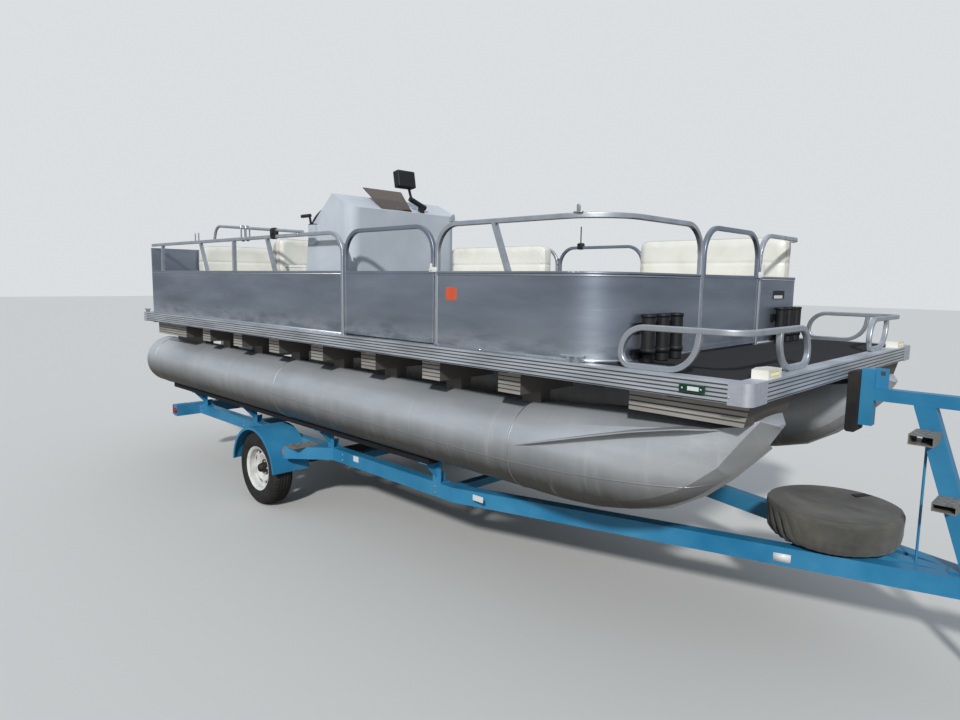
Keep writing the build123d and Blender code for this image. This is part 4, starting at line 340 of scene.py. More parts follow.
# %% The material of each CAD node
NODES_OF = (
    (skin, "side_fences bow_fences stern_fence gate_starboard gate_port gate_bow"),
    (pontoon_skin, "pontoon_starboard pontoon_port spray_fins motor_pod"),
    (bright_tube, "top_rails_starboard top_rails_port cleats chair_pedestal"),
    (bright_tube, "grab_rails_starboard grab_rails_port"),
    (rail_metal, "deck_rails"),
    (riser_metal, "risers_starboard risers_port"),
    (shaded_channel, "cross_members"),
    (cast_cap, "corner_caps"),
    (deck_carpet, "deck"),
    (bunk_carpet, "bunks"),
    (cream, "bench_cushions chair_cushions"),
    (bench_shell, "bench_bases chair_seat"),
    (console_shell, "console"),
    (smoked, "windscreen"),
    (lamp_paint, "bow_lights"),
    (red_lens, "tail_lamps"),
    (black_plastic, "rod_holders_starboard rod_holders_port steering_wheel display"),
    (motor_paint, "outboard_clamp outboard_swivel outboard_leg outboard_cowl propeller"),
    (blue, "trailer_frame fenders bunk_posts winch_stand"),
    (dark_steel, "axle leaf_springs"),
    (rim_white, "wheel_starboard wheel_port"),
    (rubber, "tyre_starboard tyre_port bow_stop jack_wheel spare_wheel spare_cover"),
    (grip_plate, "boarding_steps"),
    (zinc, "winch winch_crank coupler jack jack_leg"),
)
for material, names in NODES_OF:
    for name in names.split():
        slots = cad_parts[name].data.materials
        slots.clear()
        slots.append(material)
print("materials on", sum(len(names.split()) for _, names in NODES_OF), "nodes")

# %% [markdown]
# ## How the new pieces are made
# Every new piece is a grid of points or an outline carried along a path, worked out with numpy. A helper
# gives it faces and a material and lets it ride on the body that carries it.

# %% Mesh helpers
def flat(half_wide, half_high):
    """Rectangle as an outline."""
    return [(half_wide * a, half_high * b) for a, b in ((-1, -1), (1, -1), (1, 1), (-1, 1))]


def joined(parts):
    """One part, its points and its faces, from a part or from a list of parts."""
    if isinstance(parts, tuple):
        return parts
    points, faces, base = [], [], 0
    for some_points, some_faces in parts:
        points.append(np.asarray(some_points).reshape(-1, 3))
        faces += [[index + base for index in face] for face in some_faces]
        base += len(points[-1])
    return np.concatenate(points), faces


def link(name, data):
    """New object in the scene."""
    thing = bpy.data.objects.new(name, data)
    bpy.context.collection.objects.link(thing)
    return thing


def add_mesh(name, parts, material, body=HULL, smooth=True):
    """Finished piece from its parts in shared metres; closed shells get their faces outwards."""
    points, faces = joined(parts)
    mesh = bpy.data.meshes.new(name)
    mesh.from_pydata(np.asarray(points, float).reshape(-1, 3).tolist(), [], [list(f) for f in faces])
    work = bmesh.new()
    work.from_mesh(mesh)
    bmesh.ops.remove_doubles(work, verts=work.verts, dist=1e-6)
    bmesh.ops.recalc_face_normals(work, faces=work.faces)
    work.to_mesh(mesh)
    work.free()
    mesh.polygons.foreach_set("use_smooth", [smooth] * len(mesh.polygons))
    mesh.materials.append(material)
    piece = link(name, mesh)
    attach(piece, body)
    return piece


def grid_faces(rows, columns, close_rows=False, close_columns=False):
    """Quads over a grid of rows by columns, joined at the ends where asked."""
    r = np.arange(rows if close_rows else rows - 1)[:, None]
    c = np.arange(columns if close_columns else columns - 1)[None, :]
    r_next, c_next = (r + 1) % rows, (c + 1) % columns
    quads = [r * columns + c, r * columns + c_next, r_next * columns + c_next, r_next * columns + c]
    return np.stack(np.broadcast_arrays(*quads), -1).reshape(-1, 4)


def capped_faces(rows, columns):
    """Quads of a tube of rings, with a face over each end."""
    ends = [list(range(columns)), list(range((rows - 1) * columns, rows * columns))]
    return [list(f) for f in grid_faces(rows, columns, False, True)] + ends


def swept(path, section, closed=False, reference=(0, 0, 1)):
    """Outline carried along a path, with end caps. At each point its axes are a side vector, square to
    the path and the reference, and the vector square to both."""
    path = np.asarray(path, float)
    along = np.roll(path, -1, 0) - np.roll(path, 1, 0) if closed else np.gradient(path, axis=0)
    along /= np.linalg.norm(along, axis=1, keepdims=True)
    side = np.cross(along, reference)
    side /= np.linalg.norm(side, axis=1, keepdims=True)
    up = np.cross(side, along)
    section = np.asarray(section, float)
    points = path[:, None] + section[None, :, :1] * side[:, None]
    points = points + section[None, :, 1:] * up[:, None]
    size = (len(path), len(section))
    return points.reshape(-1, 3), grid_faces(*size, True, True) if closed else capped_faces(*size)


def around(count):
    """Even angles round a full turn."""
    return np.linspace(0, 2 * pi, count, endpoint=False)


def ring(radius, count=12):
    """Circle as an outline: radius times cosine and sine of the angle."""
    angle = around(count)
    return np.stack([radius * np.cos(angle), radius * np.sin(angle)], -1)


def eased(wave, power):
    """A cosine or sine raised to a power, with its sign kept."""
    return np.sign(wave) * np.abs(wave) ** power


def pillow(low, high, power=5.0, rows=13, columns=28):
    """Rounded block between two corners: cosine and sine of two angles, each raised to 2/power."""
    low, high = np.asarray(low, float), np.asarray(high, float)
    polar = np.linspace(-pi / 2, pi / 2, rows)[:, None]
    turn = around(columns)[None, :]
    ease = 2 / power
    level, x, y = eased(np.cos(polar), ease), eased(np.cos(turn), ease), eased(np.sin(turn), ease)
    unit = (level * x, level * y, eased(np.sin(polar), ease))
    unit = np.stack(np.broadcast_arrays(*unit), -1)
    points = (low + high) / 2 + unit * (high - low) / 2
    return points.reshape(-1, 3), grid_faces(rows, columns, False, True)


def turned(profile, centre, axis, count=32):
    """Profile of (radius, height) turned round an axis: each row is a circle of that radius."""
    axis = np.asarray(axis, float) / np.linalg.norm(axis)
    first = np.cross(axis, (0, 0, 1) if abs(axis[2]) < 0.9 else (1, 0, 0))
    first /= np.linalg.norm(first)
    second = np.cross(axis, first)
    profile = np.asarray(profile, float)
    angle = around(count)
    spoke = np.cos(angle)[:, None] * first + np.sin(angle)[:, None] * second
    points = np.asarray(centre) + profile[:, :1, None] * spoke[None] + profile[:, 1:, None] * axis
    return points.reshape(-1, 3), grid_faces(len(profile), count, False, True)


def both_sides(parts):
    """Parts and their mirror image across the centreline."""
    points, faces = joined(parts)
    return joined([(points, faces), (points * np.array([1, -1, 1]), faces)])


def blocks(*rows, power=5.0, rows_round=(13, 28)):
    """Rounded blocks, each from its limits along X, Y and Z in millimetres."""
    return [
        pillow(place(x0, y0, z0), place(x1, y1, z1), power, *rows_round)
        for x0, x1, y0, y1, z0, z1 in rows
    ]


def resampled(outline, count, endpoint=True):
    """An outline's coordinates at even steps of its run, and each step's share of the run."""
    run = np.concatenate([[0], np.cumsum(np.linalg.norm(np.diff(outline, axis=0), axis=1))])
    steps = np.linspace(0, run[-1], count, endpoint=endpoint)
    return [np.interp(steps, run, column) for column in outline.T], steps / run[-1]


# Fewer rows and columns for a rounded block that is small
COARSE = (9, 16)
# Corners 0 to 3 round one side of a box and 4 to 7 round the other
BOX_FACES = [(0, 1, 2, 3), (4, 5, 6, 7), (0, 1, 5, 4), (1, 2, 6, 5), (2, 3, 7, 6), (3, 0, 4, 7)]

print("helpers ready")

# %% [markdown]
# ## Welds and the keel strip
# The tubes are rolled from sheets eight feet long, joined by weld beads right round. A further bead runs
# along the tube's outer side up to the nose, a rubbing strip follows the keel, and a spray fin climbs the
# nose. The nose is not round, so the long bead and the fin find it by casting rays onto the CAD mesh.

# %% Weld beads and keel strips
TUBE_R, TUBE_Y, TUBE_Z = 236.6, 900.0, -511.5


def rippled_ring(x):
    """Weld round the tube at one X: a circle whose radius ripples by a third of a millimetre."""
    angle = around(240)
    radius = TUBE_R + 0.4 + 0.35 * np.sin(angle * 150)
    path = place(x, -TUBE_Y + radius * np.cos(angle), TUBE_Z + radius * np.sin(angle))
    return swept(path, ring(0.0033, 8), True, (1, 0, 0))


def on_hull(x, z):
    """Where a ray from starboard meets the starboard tube, at one X and Z."""
    start = Vector(place(x, -1500.0, z))
    hit, spot, _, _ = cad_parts["pontoon_starboard"].ray_cast(start, Vector((0, 1, 0)))
    return np.array(spot) if hit else None


SEAM_X = [-3713, -3309, -2842, -1911, -1512, -1262, -961, -695, -459, -249]
SEAM_Z = [-527, -540, -552, -558, -563, -561, -548, -530, -512, -490]
low_weld = [on_hull(x, np.interp(x, SEAM_X, SEAM_Z)) for x in np.linspace(-3713, -230, 160)]
low_weld = [spot for spot in low_weld if spot is not None]
beads = [rippled_ring(x) for x in (-1271.0, -3713.0, -6155.0)]
beads.append(swept(low_weld, ring(0.003, 8)))
add_mesh("tube_weld_beads", both_sides(beads), weld_metal)
KEEL_X = np.array((-1310, -1090, -860, -660, -470, -300, -188, -105, -41))
KEEL_Z = np.array((-747.5, -745, -741, -701, -650, -547, -449, -360, -289))
keel_section = [(-0.016, -0.003), (0.016, -0.003), (0.012, 0.004), (-0.012, 0.004)]
strip = swept(place(KEEL_X, -TUBE_Y, KEEL_Z), keel_section, reference=(0, 1, 0))
add_mesh("keel_strips", both_sides(strip), weld_metal, smooth=False)

# The spray fin leaves the tube's widest point and climbs towards the bow: its outer edge
FIN_X = (-1222, -1100, -1014, -745, -534, -320, -250, -174)
FIN_Y = (-1131, -1152, -1160, -1163, -1158, -1148, -1118, -1058)
FIN_Z = (-467, -430, -405, -330, -275, -229, -224, -221)


def fin_blade(count=60, thick=0.005):
    """Blade: across it a straight line from just inside the skin to the edge, along it the table's
    eased curve; a lower copy makes its thickness."""
    x = np.linspace(FIN_X[0], FIN_X[-1], count)
    y, z = np.interp(x, FIN_X, FIN_Y), np.interp(x, FIN_X, FIN_Z)
    for _ in range(4):
        y[1:-1] = (y[:-2] + y[1:-1] * 2 + y[2:]) / 4
        z[1:-1] = (z[:-2] + z[1:-1] * 2 + z[2:]) / 4
    rows = []
    for a, b, c in zip(x, y, z):
        spot = on_hull(a, c)
        root = (spot[1] + 0.008) if spot is not None else (b + 12) / 1000
        edge = min(b / 1000, root - 0.009)
        ahead, _, top = place(a, b, c)
        low = top - thick
        rows += [(ahead, root, top), (ahead, edge, top), (ahead, edge, low), (ahead, root, low)]
    return np.array(rows), capped_faces(count, 4)


fins = add_mesh("bow_spray_fins", both_sides(fin_blade()), pontoon_skin, smooth=False)
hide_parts("spray_fins")
print("weld beads, keel strips and fins made")

# %% [markdown]
# ## Fence trim
# The sheet walls stand in a small base channel, held by rivets, with a thin strip along their top. One
# plain sticker square sits near the starboard gate, and a socket plate with a blank label on the port
# front wall.

# %% Base channels, rivets, sticker and socket plate
FENCE_OUT = 1193.6
FRONT = -644.5


def rounded_run(points, bend, count=14):
    """Path in plan through three points, its square corner rounded to an arc of a radius."""
    a, b, c = (np.array(p, float) for p in points)
    u, v = (a - b) / np.linalg.norm(a - b), (c - b) / np.linalg.norm(c - b)
    share = np.linspace(0, 1, count)[:, None]
    spoke = -v * (1 - share) - u * share
    spoke = spoke / np.linalg.norm(spoke, axis=1, keepdims=True)
    return np.concatenate([[a], b + (u + v + spoke) * bend, [c]])


def trim_along(plan, low, high, out):
    """Flat strip that stands off a wall path in plan, from one height to another."""
    path = place(*np.transpose(plan), (low + high) / 2)
    half = (high - low) / 2000
    outline = [(-out, -half), (out, -half), (out, half * 0.6), (out * 0.4, half), (-out, half)]
    return swept(path, outline)


WALL_BEND = 261.0
walls = [
    rounded_run([(-1775, -FENCE_OUT), (FRONT, -FENCE_OUT), (FRONT, -363)], WALL_BEND),
    [(-5950, -FENCE_OUT), (-2682, -FENCE_OUT)],
    rounded_run([(-1889, FENCE_OUT), (FRONT, FENCE_OUT), (FRONT, 425)], WALL_BEND),
    [(-5950, FENCE_OUT), (-2796, FENCE_OUT)],
]
trims = [trim_along(plan, 0.0, 16.0, 0.0035) for plan in walls]
trims += [trim_along(plan, 388.0, 397.0, 0.0016) for plan in walls]
add_mesh("fence_base_channels", trims, bright_tube)


def dome(spot, normal, radius, rise):
    """Rivet or screw head: a cap whose height falls with the square of the radius."""
    share = np.linspace(0, 1, 5)
    profile = np.stack([radius * share, rise * (1 - share**2)], -1)[::-1]
    profile = np.concatenate([[(radius, -0.001)], profile])
    return turned(profile, spot, normal, 10)


PITCH = 160
OUTWARD = (0, -1, 0)
rivet_rows = np.concatenate([np.arange(-5900, -2700, PITCH), np.arange(-1740, -930, PITCH)])
rivets = [dome(place(x, -FENCE_OUT - 3.4, 8), OUTWARD, 0.0032, 0.0016) for x in rivet_rows]
rivets += [dome(place(-87, -1219.6, -60), OUTWARD, 0.0045, 0.0018)]
rivets = [both_sides(rivets)]
rivets += [dome(place(0.4, y, -67), (1, 0, 0), 0.0045, 0.0018) for y in (-1084, 1084)]
add_mesh("rivets_and_cap_screws", rivets, chrome)
collars = []
for y in (668.0, 798.0, 928.0):
    for low, high, radius in ((40.0, 66.0, 0.0345), (206.0, 221.5, 0.0325)):
        inner, tall = 0.0295, (high - low) / 1000
        outline = [(inner, 0), (radius, 0), (radius, tall), (inner, tall)]
        collars.append(turned(outline, place(-604.5, -y, low), (0, 0, 1), 28))
        collars += blocks((-642, -632, -y - 9, -y + 9, low, high), power=6, rows_round=COARSE)
sticker_red = moulded_plastic("faded_red_sticker", "#d8512d", 0.4, "#e07a55")
sticker = blocks((-1682, -1600, -FENCE_OUT - 0.9, -FENCE_OUT + 1, 256, 326), power=14)
socket = blocks((FRONT - 2, FRONT + 4, 622, 806, 272, 326), power=9)
blank = blocks((FRONT + 3, FRONT + 5.4, 632, 770, 276, 296), power=12)
add_mesh("sticker_square", sticker, sticker_red)
add_mesh("rod_holder_collars", both_sides(collars), black_plastic)
add_mesh("front_socket_plate", socket, black_plastic)
add_mesh("front_socket_label", blank, white_tape)
print("fence trim made")

# %% [markdown]
# ## Small fittings on the rails
# Gate latches are white plastic slides. Clamps hold the folded hoop to the aft rail, and pairs of small
# tabs carry other parts of it. All are rounded blocks and bands, sunk slightly into the tube they grip.

# %% Latches, clamps and tabs
RAIL_Y = 1182.6
latches = blocks(
    (-1812, -1750, -RAIL_Y - 23, -RAIL_Y - 11, 404, 432),
    (-1796, -1780, -RAIL_Y - 30, -RAIL_Y - 20, 412, 452),
    (-1926, -1864, RAIL_Y + 11, RAIL_Y + 23, 404, 432),
    (-1910, -1894, RAIL_Y + 20, RAIL_Y + 30, 412, 452),
    (FRONT + 1, FRONT + 17, 366, 420, 398, 438),
    (FRONT + 12, FRONT + 26, 378, 400, 404, 486),
)
add_mesh("gate_latches", latches, white_plastic)


def hoop_height(x):
    """Height of the folded hoop's sloping run at one X."""
    return 778.0 - (x + 4500.0) / 13.5


def strap(x, low, high, wide, out):
    """Flat band round the hoop and the rail at one X: a rounded loop in front view."""
    angle = around(32)
    y = -RAIL_Y + out * eased(np.cos(angle), 0.5)
    z = (low + high) / 2 + (high - low) / 2 * eased(np.sin(angle), 0.5)
    return swept(place(x, y, z), flat(wide, 0.0007), True, (1, 0, 0))


straps = [strap(x, 643, hoop_height(x) + 13, 0.006, 15.0) for x in (-4031.0, -3953.0)]
add_mesh("hoop_straps", straps, chrome)
clamp_top = hoop_height(-3540.0) + 16
clamps = blocks((-3585, -3500, -RAIL_Y - 19, -RAIL_Y + 17, 640, clamp_top), power=4)
clamps += blocks((-3560, -3524, -RAIL_Y - 27, -RAIL_Y - 15, 672, 704), power=3)
add_mesh("hoop_black_clamp", clamps, black_plastic)
tabs = []
for x in (-4933.0, -4862.0):
    tabs += blocks((x, x + 16, -RAIL_Y - 3, -RAIL_Y + 3, 668, 738), power=6)
tabs += blocks((-3215, -3188, -RAIL_Y - 14, -RAIL_Y - 11, 650, 672), power=4)
for x in (-830.0, -1641.0):
    tabs += blocks((x - 24, x + 24, -RAIL_Y - 12, -RAIL_Y + 12, 668, 676))
    tabs += blocks((x - 10, x + 10, -RAIL_Y - 4, -RAIL_Y + 4, 672, 708), power=4)
add_mesh("rail_tabs", tabs, chrome)
port_parts = blocks((-2562, -2494, RAIL_Y - 19, RAIL_Y + 19, 642, 700), power=4)
stem = place(-2530, RAIL_Y, np.array((690, 740, 800, 840)))
port_parts.append(swept(stem, ring(0.005, 8), reference=(0, 1, 0)))
add_mesh("port_rail_clamp", port_parts, black_plastic, "port_gate")
print("latches, clamps and tabs made")

# %% [markdown]
# ## Lamps
# The docking light is a cream wedge with a ribbed pale yellow lens in its recess. Ribs are a cosine along
# the lens. The side light's flush lens is part of its housing's material.

# %% Lenses
def ribbed_lens(low, high, ribs, depth):
    """Lens between two corners whose front face, along +X, waves with a cosine across Y."""
    y = np.linspace(low[1], high[1], 8 * ribs + 1)
    wave = high[0] + depth * np.cos(np.linspace(0, 2 * pi * ribs, len(y)))
    outline = np.concatenate([np.stack([wave, y], -1), [(low[0], high[1]), (low[0], low[1])]])
    points = [(*row, z) for z in (low[2], high[2]) for row in outline]
    return np.array(points), capped_faces(2, len(outline))


lens = ribbed_lens(place(-20, -1027, 11), place(-10, -941, 25), 9, 0.0012)
add_mesh("docking_lenses", both_sides(lens), pale_lens, smooth=False)
print("lenses made")

# %% [markdown]
# ## Tyres with tread
# A trailer tyre has four grooves round it and short cuts across its shoulders. Its turned section is
# kept, and each point moves in by the groove's depth where one passes.

# %% Tread as a displaced turned surface
WHEEL_Y = 1.0475
GROOVES = (-0.036, -0.012, 0.012, 0.036)
# Section of the tyre from bead to bead: radius, and distance from the middle plane
RADII = (0.166, 0.187, 0.215, 0.2415, 0.262, 0.2795, 0.2925, 0.2985, 0.3025, 0.3035)
ACROSS = (0.0595, 0.0775, 0.0855, 0.0875, 0.0855, 0.0795, 0.0695, 0.0575, 0.045, 0.03)
half = np.stack([RADII, ACROSS], -1)
SECTION = np.concatenate([half * (1, -1), [(0.3035, 0.0)], half[::-1]])


def tyre_surface(side, around_it=360, across_it=110):
    """Tyre: the section's run is sampled evenly, turned, then sunk by 6 mm in the grooves."""
    (radius, across), _ = resampled(SECTION, across_it)
    angle = around(around_it)[:, None]
    grooves = sum(np.exp(-(((across - g) / 0.0026) ** 4)) for g in GROOVES)
    shoulder = (np.abs(across) > 0.040) & (np.abs(across) < 0.072) & (radius > 0.284)
    cuts = np.clip(np.cos(angle * 60 + np.sign(across) * 0.8) * 4 - 2.9, 0, 1) * shoulder
    band = np.exp(-(((radius - 0.232) / 0.004) ** 2)) * 0.0012
    sunk = radius - 0.006 * np.maximum(grooves, cuts)
    wide = np.broadcast_to(across - np.sign(across) * band, sunk.shape)
    points = np.stack([sunk * np.cos(angle), wide, sunk * np.sin(angle)], -1)
    points = points + np.array([AXLE_X, side * WHEEL_Y, AXLE_HEIGHT])
    return points.reshape(-1, 3), grid_faces(around_it, across_it, True, False)


NUT = [(0.0105, 0), (0.0105, 0.012), (0.007, 0.017), (0, 0.018)]
CAP = [(0.036, -0.045), (0.034, 0.004), (0.026, 0.013), (0.012, 0.017), (0, 0.018)]
NUT_CIRCLE = 0.052
for side, word in ((-1, "starboard"), (1, "port")):
    rides = f"{word}_road_wheel"
    tyre = add_mesh(f"tread_tyre_{word}", tyre_surface(side), rubber, rides)
    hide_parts(f"tyre_{word}")
    cap = turned(CAP, (AXLE_X, side * (WHEEL_Y + 0.052), AXLE_HEIGHT), (0, side, 0))
    nuts = []
    for angle in around(5):
        x, z = AXLE_X + NUT_CIRCLE * cos(angle), AXLE_HEIGHT + NUT_CIRCLE * sin(angle)
        nuts.append(turned(NUT, (x, side * (WHEEL_Y + 0.010), z), (0, side, 0), 6))
    add_mesh(f"hub_cap_{word}", cap, dark_steel, rides)
    add_mesh(f"wheel_nuts_{word}", nuts, zinc, rides, smooth=False)
print("tyres made")

# %% [markdown]
# ## Cushions
# Each cushion starts from its plain CAD solid, drawn in by some millimetres, and is remeshed to an even
# skin. A cloth run blows it up from inside, so that its faces crown and its edges pull tight. Then a
# groove is pressed in where panels are sewn, and piping runs round the edges.

# %% Blow up one cushion from its solid
def islands(node_name):
    """The separate solids of a node, each as a box (low, high)."""
    work = bmesh.new()
    work.from_mesh(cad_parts[node_name].data)
    bmesh.ops.remove_doubles(work, verts=work.verts, dist=1e-5)
    work.verts.index_update()
    spots = np.array([vertex.co[:] for vertex in work.verts])
    links = np.array([[vertex.index for vertex in edge.verts] for edge in work.edges])
    work.free()
    label, before = np.arange(len(spots)), None
    while before is None or (label != before).any():
        before = label.copy()
        for one, other in (links.T, links.T[::-1]):
            np.minimum.at(label, one, label[other])
        label = label[label]
    groups = [spots[label == first] for first in np.unique(label)]
    return [(group.min(0), group.max(0)) for group in groups]


def coordinates(mesh, kind="co"):
    """A mesh's vertex positions or normals as rows."""
    values = np.empty(len(mesh.vertices) * 3)
    mesh.vertices.foreach_get(kind, values)
    return values.reshape(-1, 3)


def blown(name, low, high, body, voxel, swell=0.014, frames=20):
    """Cushion: rounded block, remeshed, blown up as cloth, each point held within the swell."""
    piece = add_mesh(name, pillow(low + 0.009, high - 0.009, 9.0, 17, 40), cream, body)
    bpy.context.view_layer.objects.active = piece
    remesh = piece.modifiers.new("remesh", "REMESH")
    remesh.mode = "VOXEL"
    remesh.voxel_size = voxel
    bpy.ops.object.modifier_apply(modifier=remesh.name)
    before = coordinates(piece.data)
    cloth = piece.modifiers.new("cloth", "CLOTH")
    settings = cloth.settings
    settings.use_pressure = True
    settings.uniform_pressure_force = 4.0
    settings.effector_weights.gravity = 0.0
    settings.tension_stiffness = 25
    settings.mass = 0.25
    cloth.point_cache.frame_start = 1
    cloth.point_cache.frame_end = frames
    for step in range(1, frames + 1):
        bpy.context.scene.frame_set(step)
    bpy.ops.object.modifier_apply(modifier=cloth.name)
    bpy.context.scene.frame_set(1)
    moved = coordinates(piece.data) - before
    far = np.linalg.norm(moved, axis=1, keepdims=True)
    moved *= np.minimum(1.0, swell / np.maximum(far, 1e-9))
    after = np.clip(before + moved, low, high)
    piece.data.vertices.foreach_set("co", after.ravel())
    smooth = piece.modifiers.new("subdivision", "SUBSURF")
    smooth.levels = smooth.render_levels = 1
    bpy.ops.object.modifier_apply(modifier=smooth.name)
    piece.data.polygons.foreach_set("use_smooth", [True] * len(piece.data.polygons))
    return piece


def press_seam(piece, axis, at_value, depth=0.006, width=0.009):
    """Groove across a cushion: points near the plane move in along their normal by a Gaussian."""
    mesh = piece.data
    spots, normals = coordinates(mesh), coordinates(mesh, "normal")
    pull = depth * np.exp(-(((spots[:, axis] - at_value) / width) ** 2))
    spots -= normals * pull[:, None]
    mesh.vertices.foreach_set("co", spots.ravel())
    mesh.update()


def piping_round(piece, low, high, axis, at_value, radius=0.0035, count=160):
    """Piping loop: a rounded rectangle in one plane, each point brought onto the cushion's skin, then
    spaced evenly along the loop."""
    path = np.tile((low + high) / 2, (count, 1))
    waves = eased(ring(1.0, count), 0.25)
    others = [i for i in range(3) if i != axis]
    path[:, others] += (high - low)[others] / 2 * waves
    path[:, axis] = at_value
    path = np.array([piece.closest_point_on_mesh(Vector(p))[1][:] for p in path])
    path, _ = resampled(np.concatenate([path, path[:1]]), count, endpoint=False)
    return swept(np.stack(path, -1), ring(radius, 6), True, np.eye(3)[axis])


piping_vinyl = vinyl("cream_piping_vinyl", "#cfc9b8", "#a9a28f")
PIPING_IN = 0.016


def make_cushions(node_name, body, voxel):
    """All cushions of one node, with their seams and one piece of piping for all."""
    made, cords = [], []
    for index, (low, high) in enumerate(islands(node_name)):
        piece = blown(f"{node_name}_{index}", low, high, body, voxel)
        size = high - low
        standing = size[2] > 0.2
        long_axis = 0 if size[0] > size[1] else 1
        thin = int(np.argmin(size))
        if standing and size[2] > 0.36:
            press_seam(piece, 2, DECK + 0.512)
        if size[long_axis] > 0.9 and not standing:
            for share in (1 / 3, 2 / 3):
                spot = low[long_axis] + share * size[long_axis]
                press_seam(piece, long_axis, spot, 0.004, 0.007)
        for level in (low[thin] + PIPING_IN, high[thin] - PIPING_IN):
            cords.append(piping_round(piece, low, high, thin, level))
        made.append(piece)
    add_mesh(f"{node_name}_piping", cords, piping_vinyl, body)
    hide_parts(node_name)
    print(node_name, len(made), "cushions")


make_cushions("bench_cushions", HULL, 0.016)
make_cushions("chair_cushions", "helm_chair", 0.011)

# %% [markdown]
# ## Spare wheel cover
# The cover is one cloth cup with an elastic hem. Its outline is turned round the wheel's axis. Folds are
# sines of the angle that grow towards the hem, and the top sags a little in soft creases.

# %% Cover as a turned sheet with folds
# Outline from the middle to the hem: radius and height
COVER_R = (0, 120, 165, 215, 270, 303, 312, 315.4, 315, 313.5, 307.5, 295.5, 284)
COVER_Z = (-754, -753, -748, -742, -741.2, -742, -746, -757, -800, -850, -885, -902, -912.5)


def cover_surface(around_it=360, along_it=90):
    """Cup: radius and height follow the outline. Folds draw the skirt in, never out: upright gathers
    at the hem, slanted pleats where the cloth bunches, and a rim seam that wanders up and down."""
    (radius, height), share = resampled(np.stack([COVER_R, COVER_Z], -1) / 1000, along_it)
    turn = around(around_it)[:, None]
    low = np.clip((share - 0.66) / 0.34, 0, 1)
    gather = 0.5 + 0.5 * np.sin(38 * turn + 2.1 * np.sin(5 * turn))
    slack = 0.5 + 0.5 * np.sin(8 * turn + 1.3 * np.sin(3 * turn) + 8 * share)
    bunch = np.exp(-((np.angle(np.exp(1j * (turn - 4.05))) / 0.34) ** 2))
    pleat = (0.5 + 0.5 * np.sin(34 * turn - 26 * share)) ** 3 * bunch * np.clip((share - 0.64) * 6, 0, 1)
    wander = 0.010 * np.sin(11 * turn + np.sin(4 * turn))
    rim = np.exp(-(((share - 0.655 - wander) / 0.012) ** 2))
    draw = 0.0028 * gather * low**1.6 + 0.011 * pleat + 0.0025 * rim
    draw = draw + 0.0038 * slack * np.clip((share - 0.62) * 6, 0, 1)
    crease = 0.5 + 0.5 * np.sin(3 * turn + 2 * np.sin(2 * turn) + 12 * share)
    dip = 0.0045 * crease * np.clip(1 - np.abs(share - 0.32) / 0.30, 0, 1) + 0.003 * rim
    spots = ((radius - draw) * np.cos(turn), (radius - draw) * np.sin(turn), height - dip)
    points = np.stack(np.broadcast_arrays(*spots), -1) + place(-35, 0, 0)
    return points, grid_faces(around_it, along_it, True, False)


surface = cover_surface()
cover = add_mesh("spare_cover_cloth", surface, cover_cloth("coated_cover_cloth"))
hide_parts("spare_cover")
# The elastic hem is a thin round along the cover's lowest ring
hem = swept(surface[0][::2, -1], ring(0.0022, 6), True)
hem = add_mesh("spare_cover_hem", hem, black_plastic)
corners = ((22, 188), (70, 262), (34, 284), (-12, 212))
patch = [place(x, y, z) for z in (-739.0, -743.0) for x, y in corners]
label = add_mesh("spare_cover_label", (patch, BOX_FACES), black_plastic, smooth=False)
print("cover made")

# %% [markdown]
# ## Trailer hardware
# Reflectors, side markers, U-bolts over the axle and the grip plates of the steps. Each is a rounded
# block, a bent rod or a plate with raised bars.

# %% Reflectors, markers and bolts
BEAM = -850.0
patches = blocks(
    (-3055, -2990, BEAM - 1.2, BEAM + 1, -982, -940),
    (-1800, -1712, BEAM - 1.2, BEAM + 1, -968, -932),
    power=14, rows_round=(9, 20),
)
# The foremost patch lies on the drawbar, which closes in from the beam by its slope
ends = [place(x, BEAM - 1.0 + (x + 1980.0) * 763.0 / 2515.0, -988) for x in (-205, -128)]
patches.append(swept(ends, flat(0.0012, 0.021)))
add_mesh("white_reflectors", both_sides(patches), white_tape)
amber = blocks((-3642, -3618, -1103, -1098, -1000, -958))
add_mesh("amber_markers", both_sides(amber), amber_lens)
dome_of = [(0.030, 0), (0.030, 0.008), (0.022, 0.013), (0, 0.014)]
stub = turned(dome_of, place(-5800, -1078, -978), OUTWARD, 28)
add_mesh("red_reflectors", both_sides(stub), red_lens)


def bent_rod(points, radius):
    """Rod through corner points, each corner eased by averaging the path three times."""
    share = np.linspace(0, 1, 12, endpoint=False)[:, None]
    path = [a * (1 - share) + b * share for a, b in zip(points, points[1:])]
    path = np.concatenate([*path, [points[-1]]])
    for _ in range(3):
        path[1:-1] = (path[:-2] + path[1:-1] + path[2:]) / 3
    return swept(path, ring(radius, 8), reference=(1, 0.01, 0.02))


U_BOLT = ((-843, -1118), (-843, -1228), (-781, -1228), (-781, -1118))
bolts = [bent_rod([place(x, y, z) for y, z in U_BOLT], 0.006) for x in (-4050.0, -3970.0)]
for x in (-5740, -4800, -3200, -2150):
    bolts += [dome(place(x, BEAM - 0.5, z), OUTWARD, 0.010, 0.006) for z in (-965, -1005)]
bolts += [dome(place(x, -41, -960), OUTWARD, 0.012, 0.008) for x in (500, 620)]
add_mesh("trailer_bolts", both_sides(bolts), zinc)


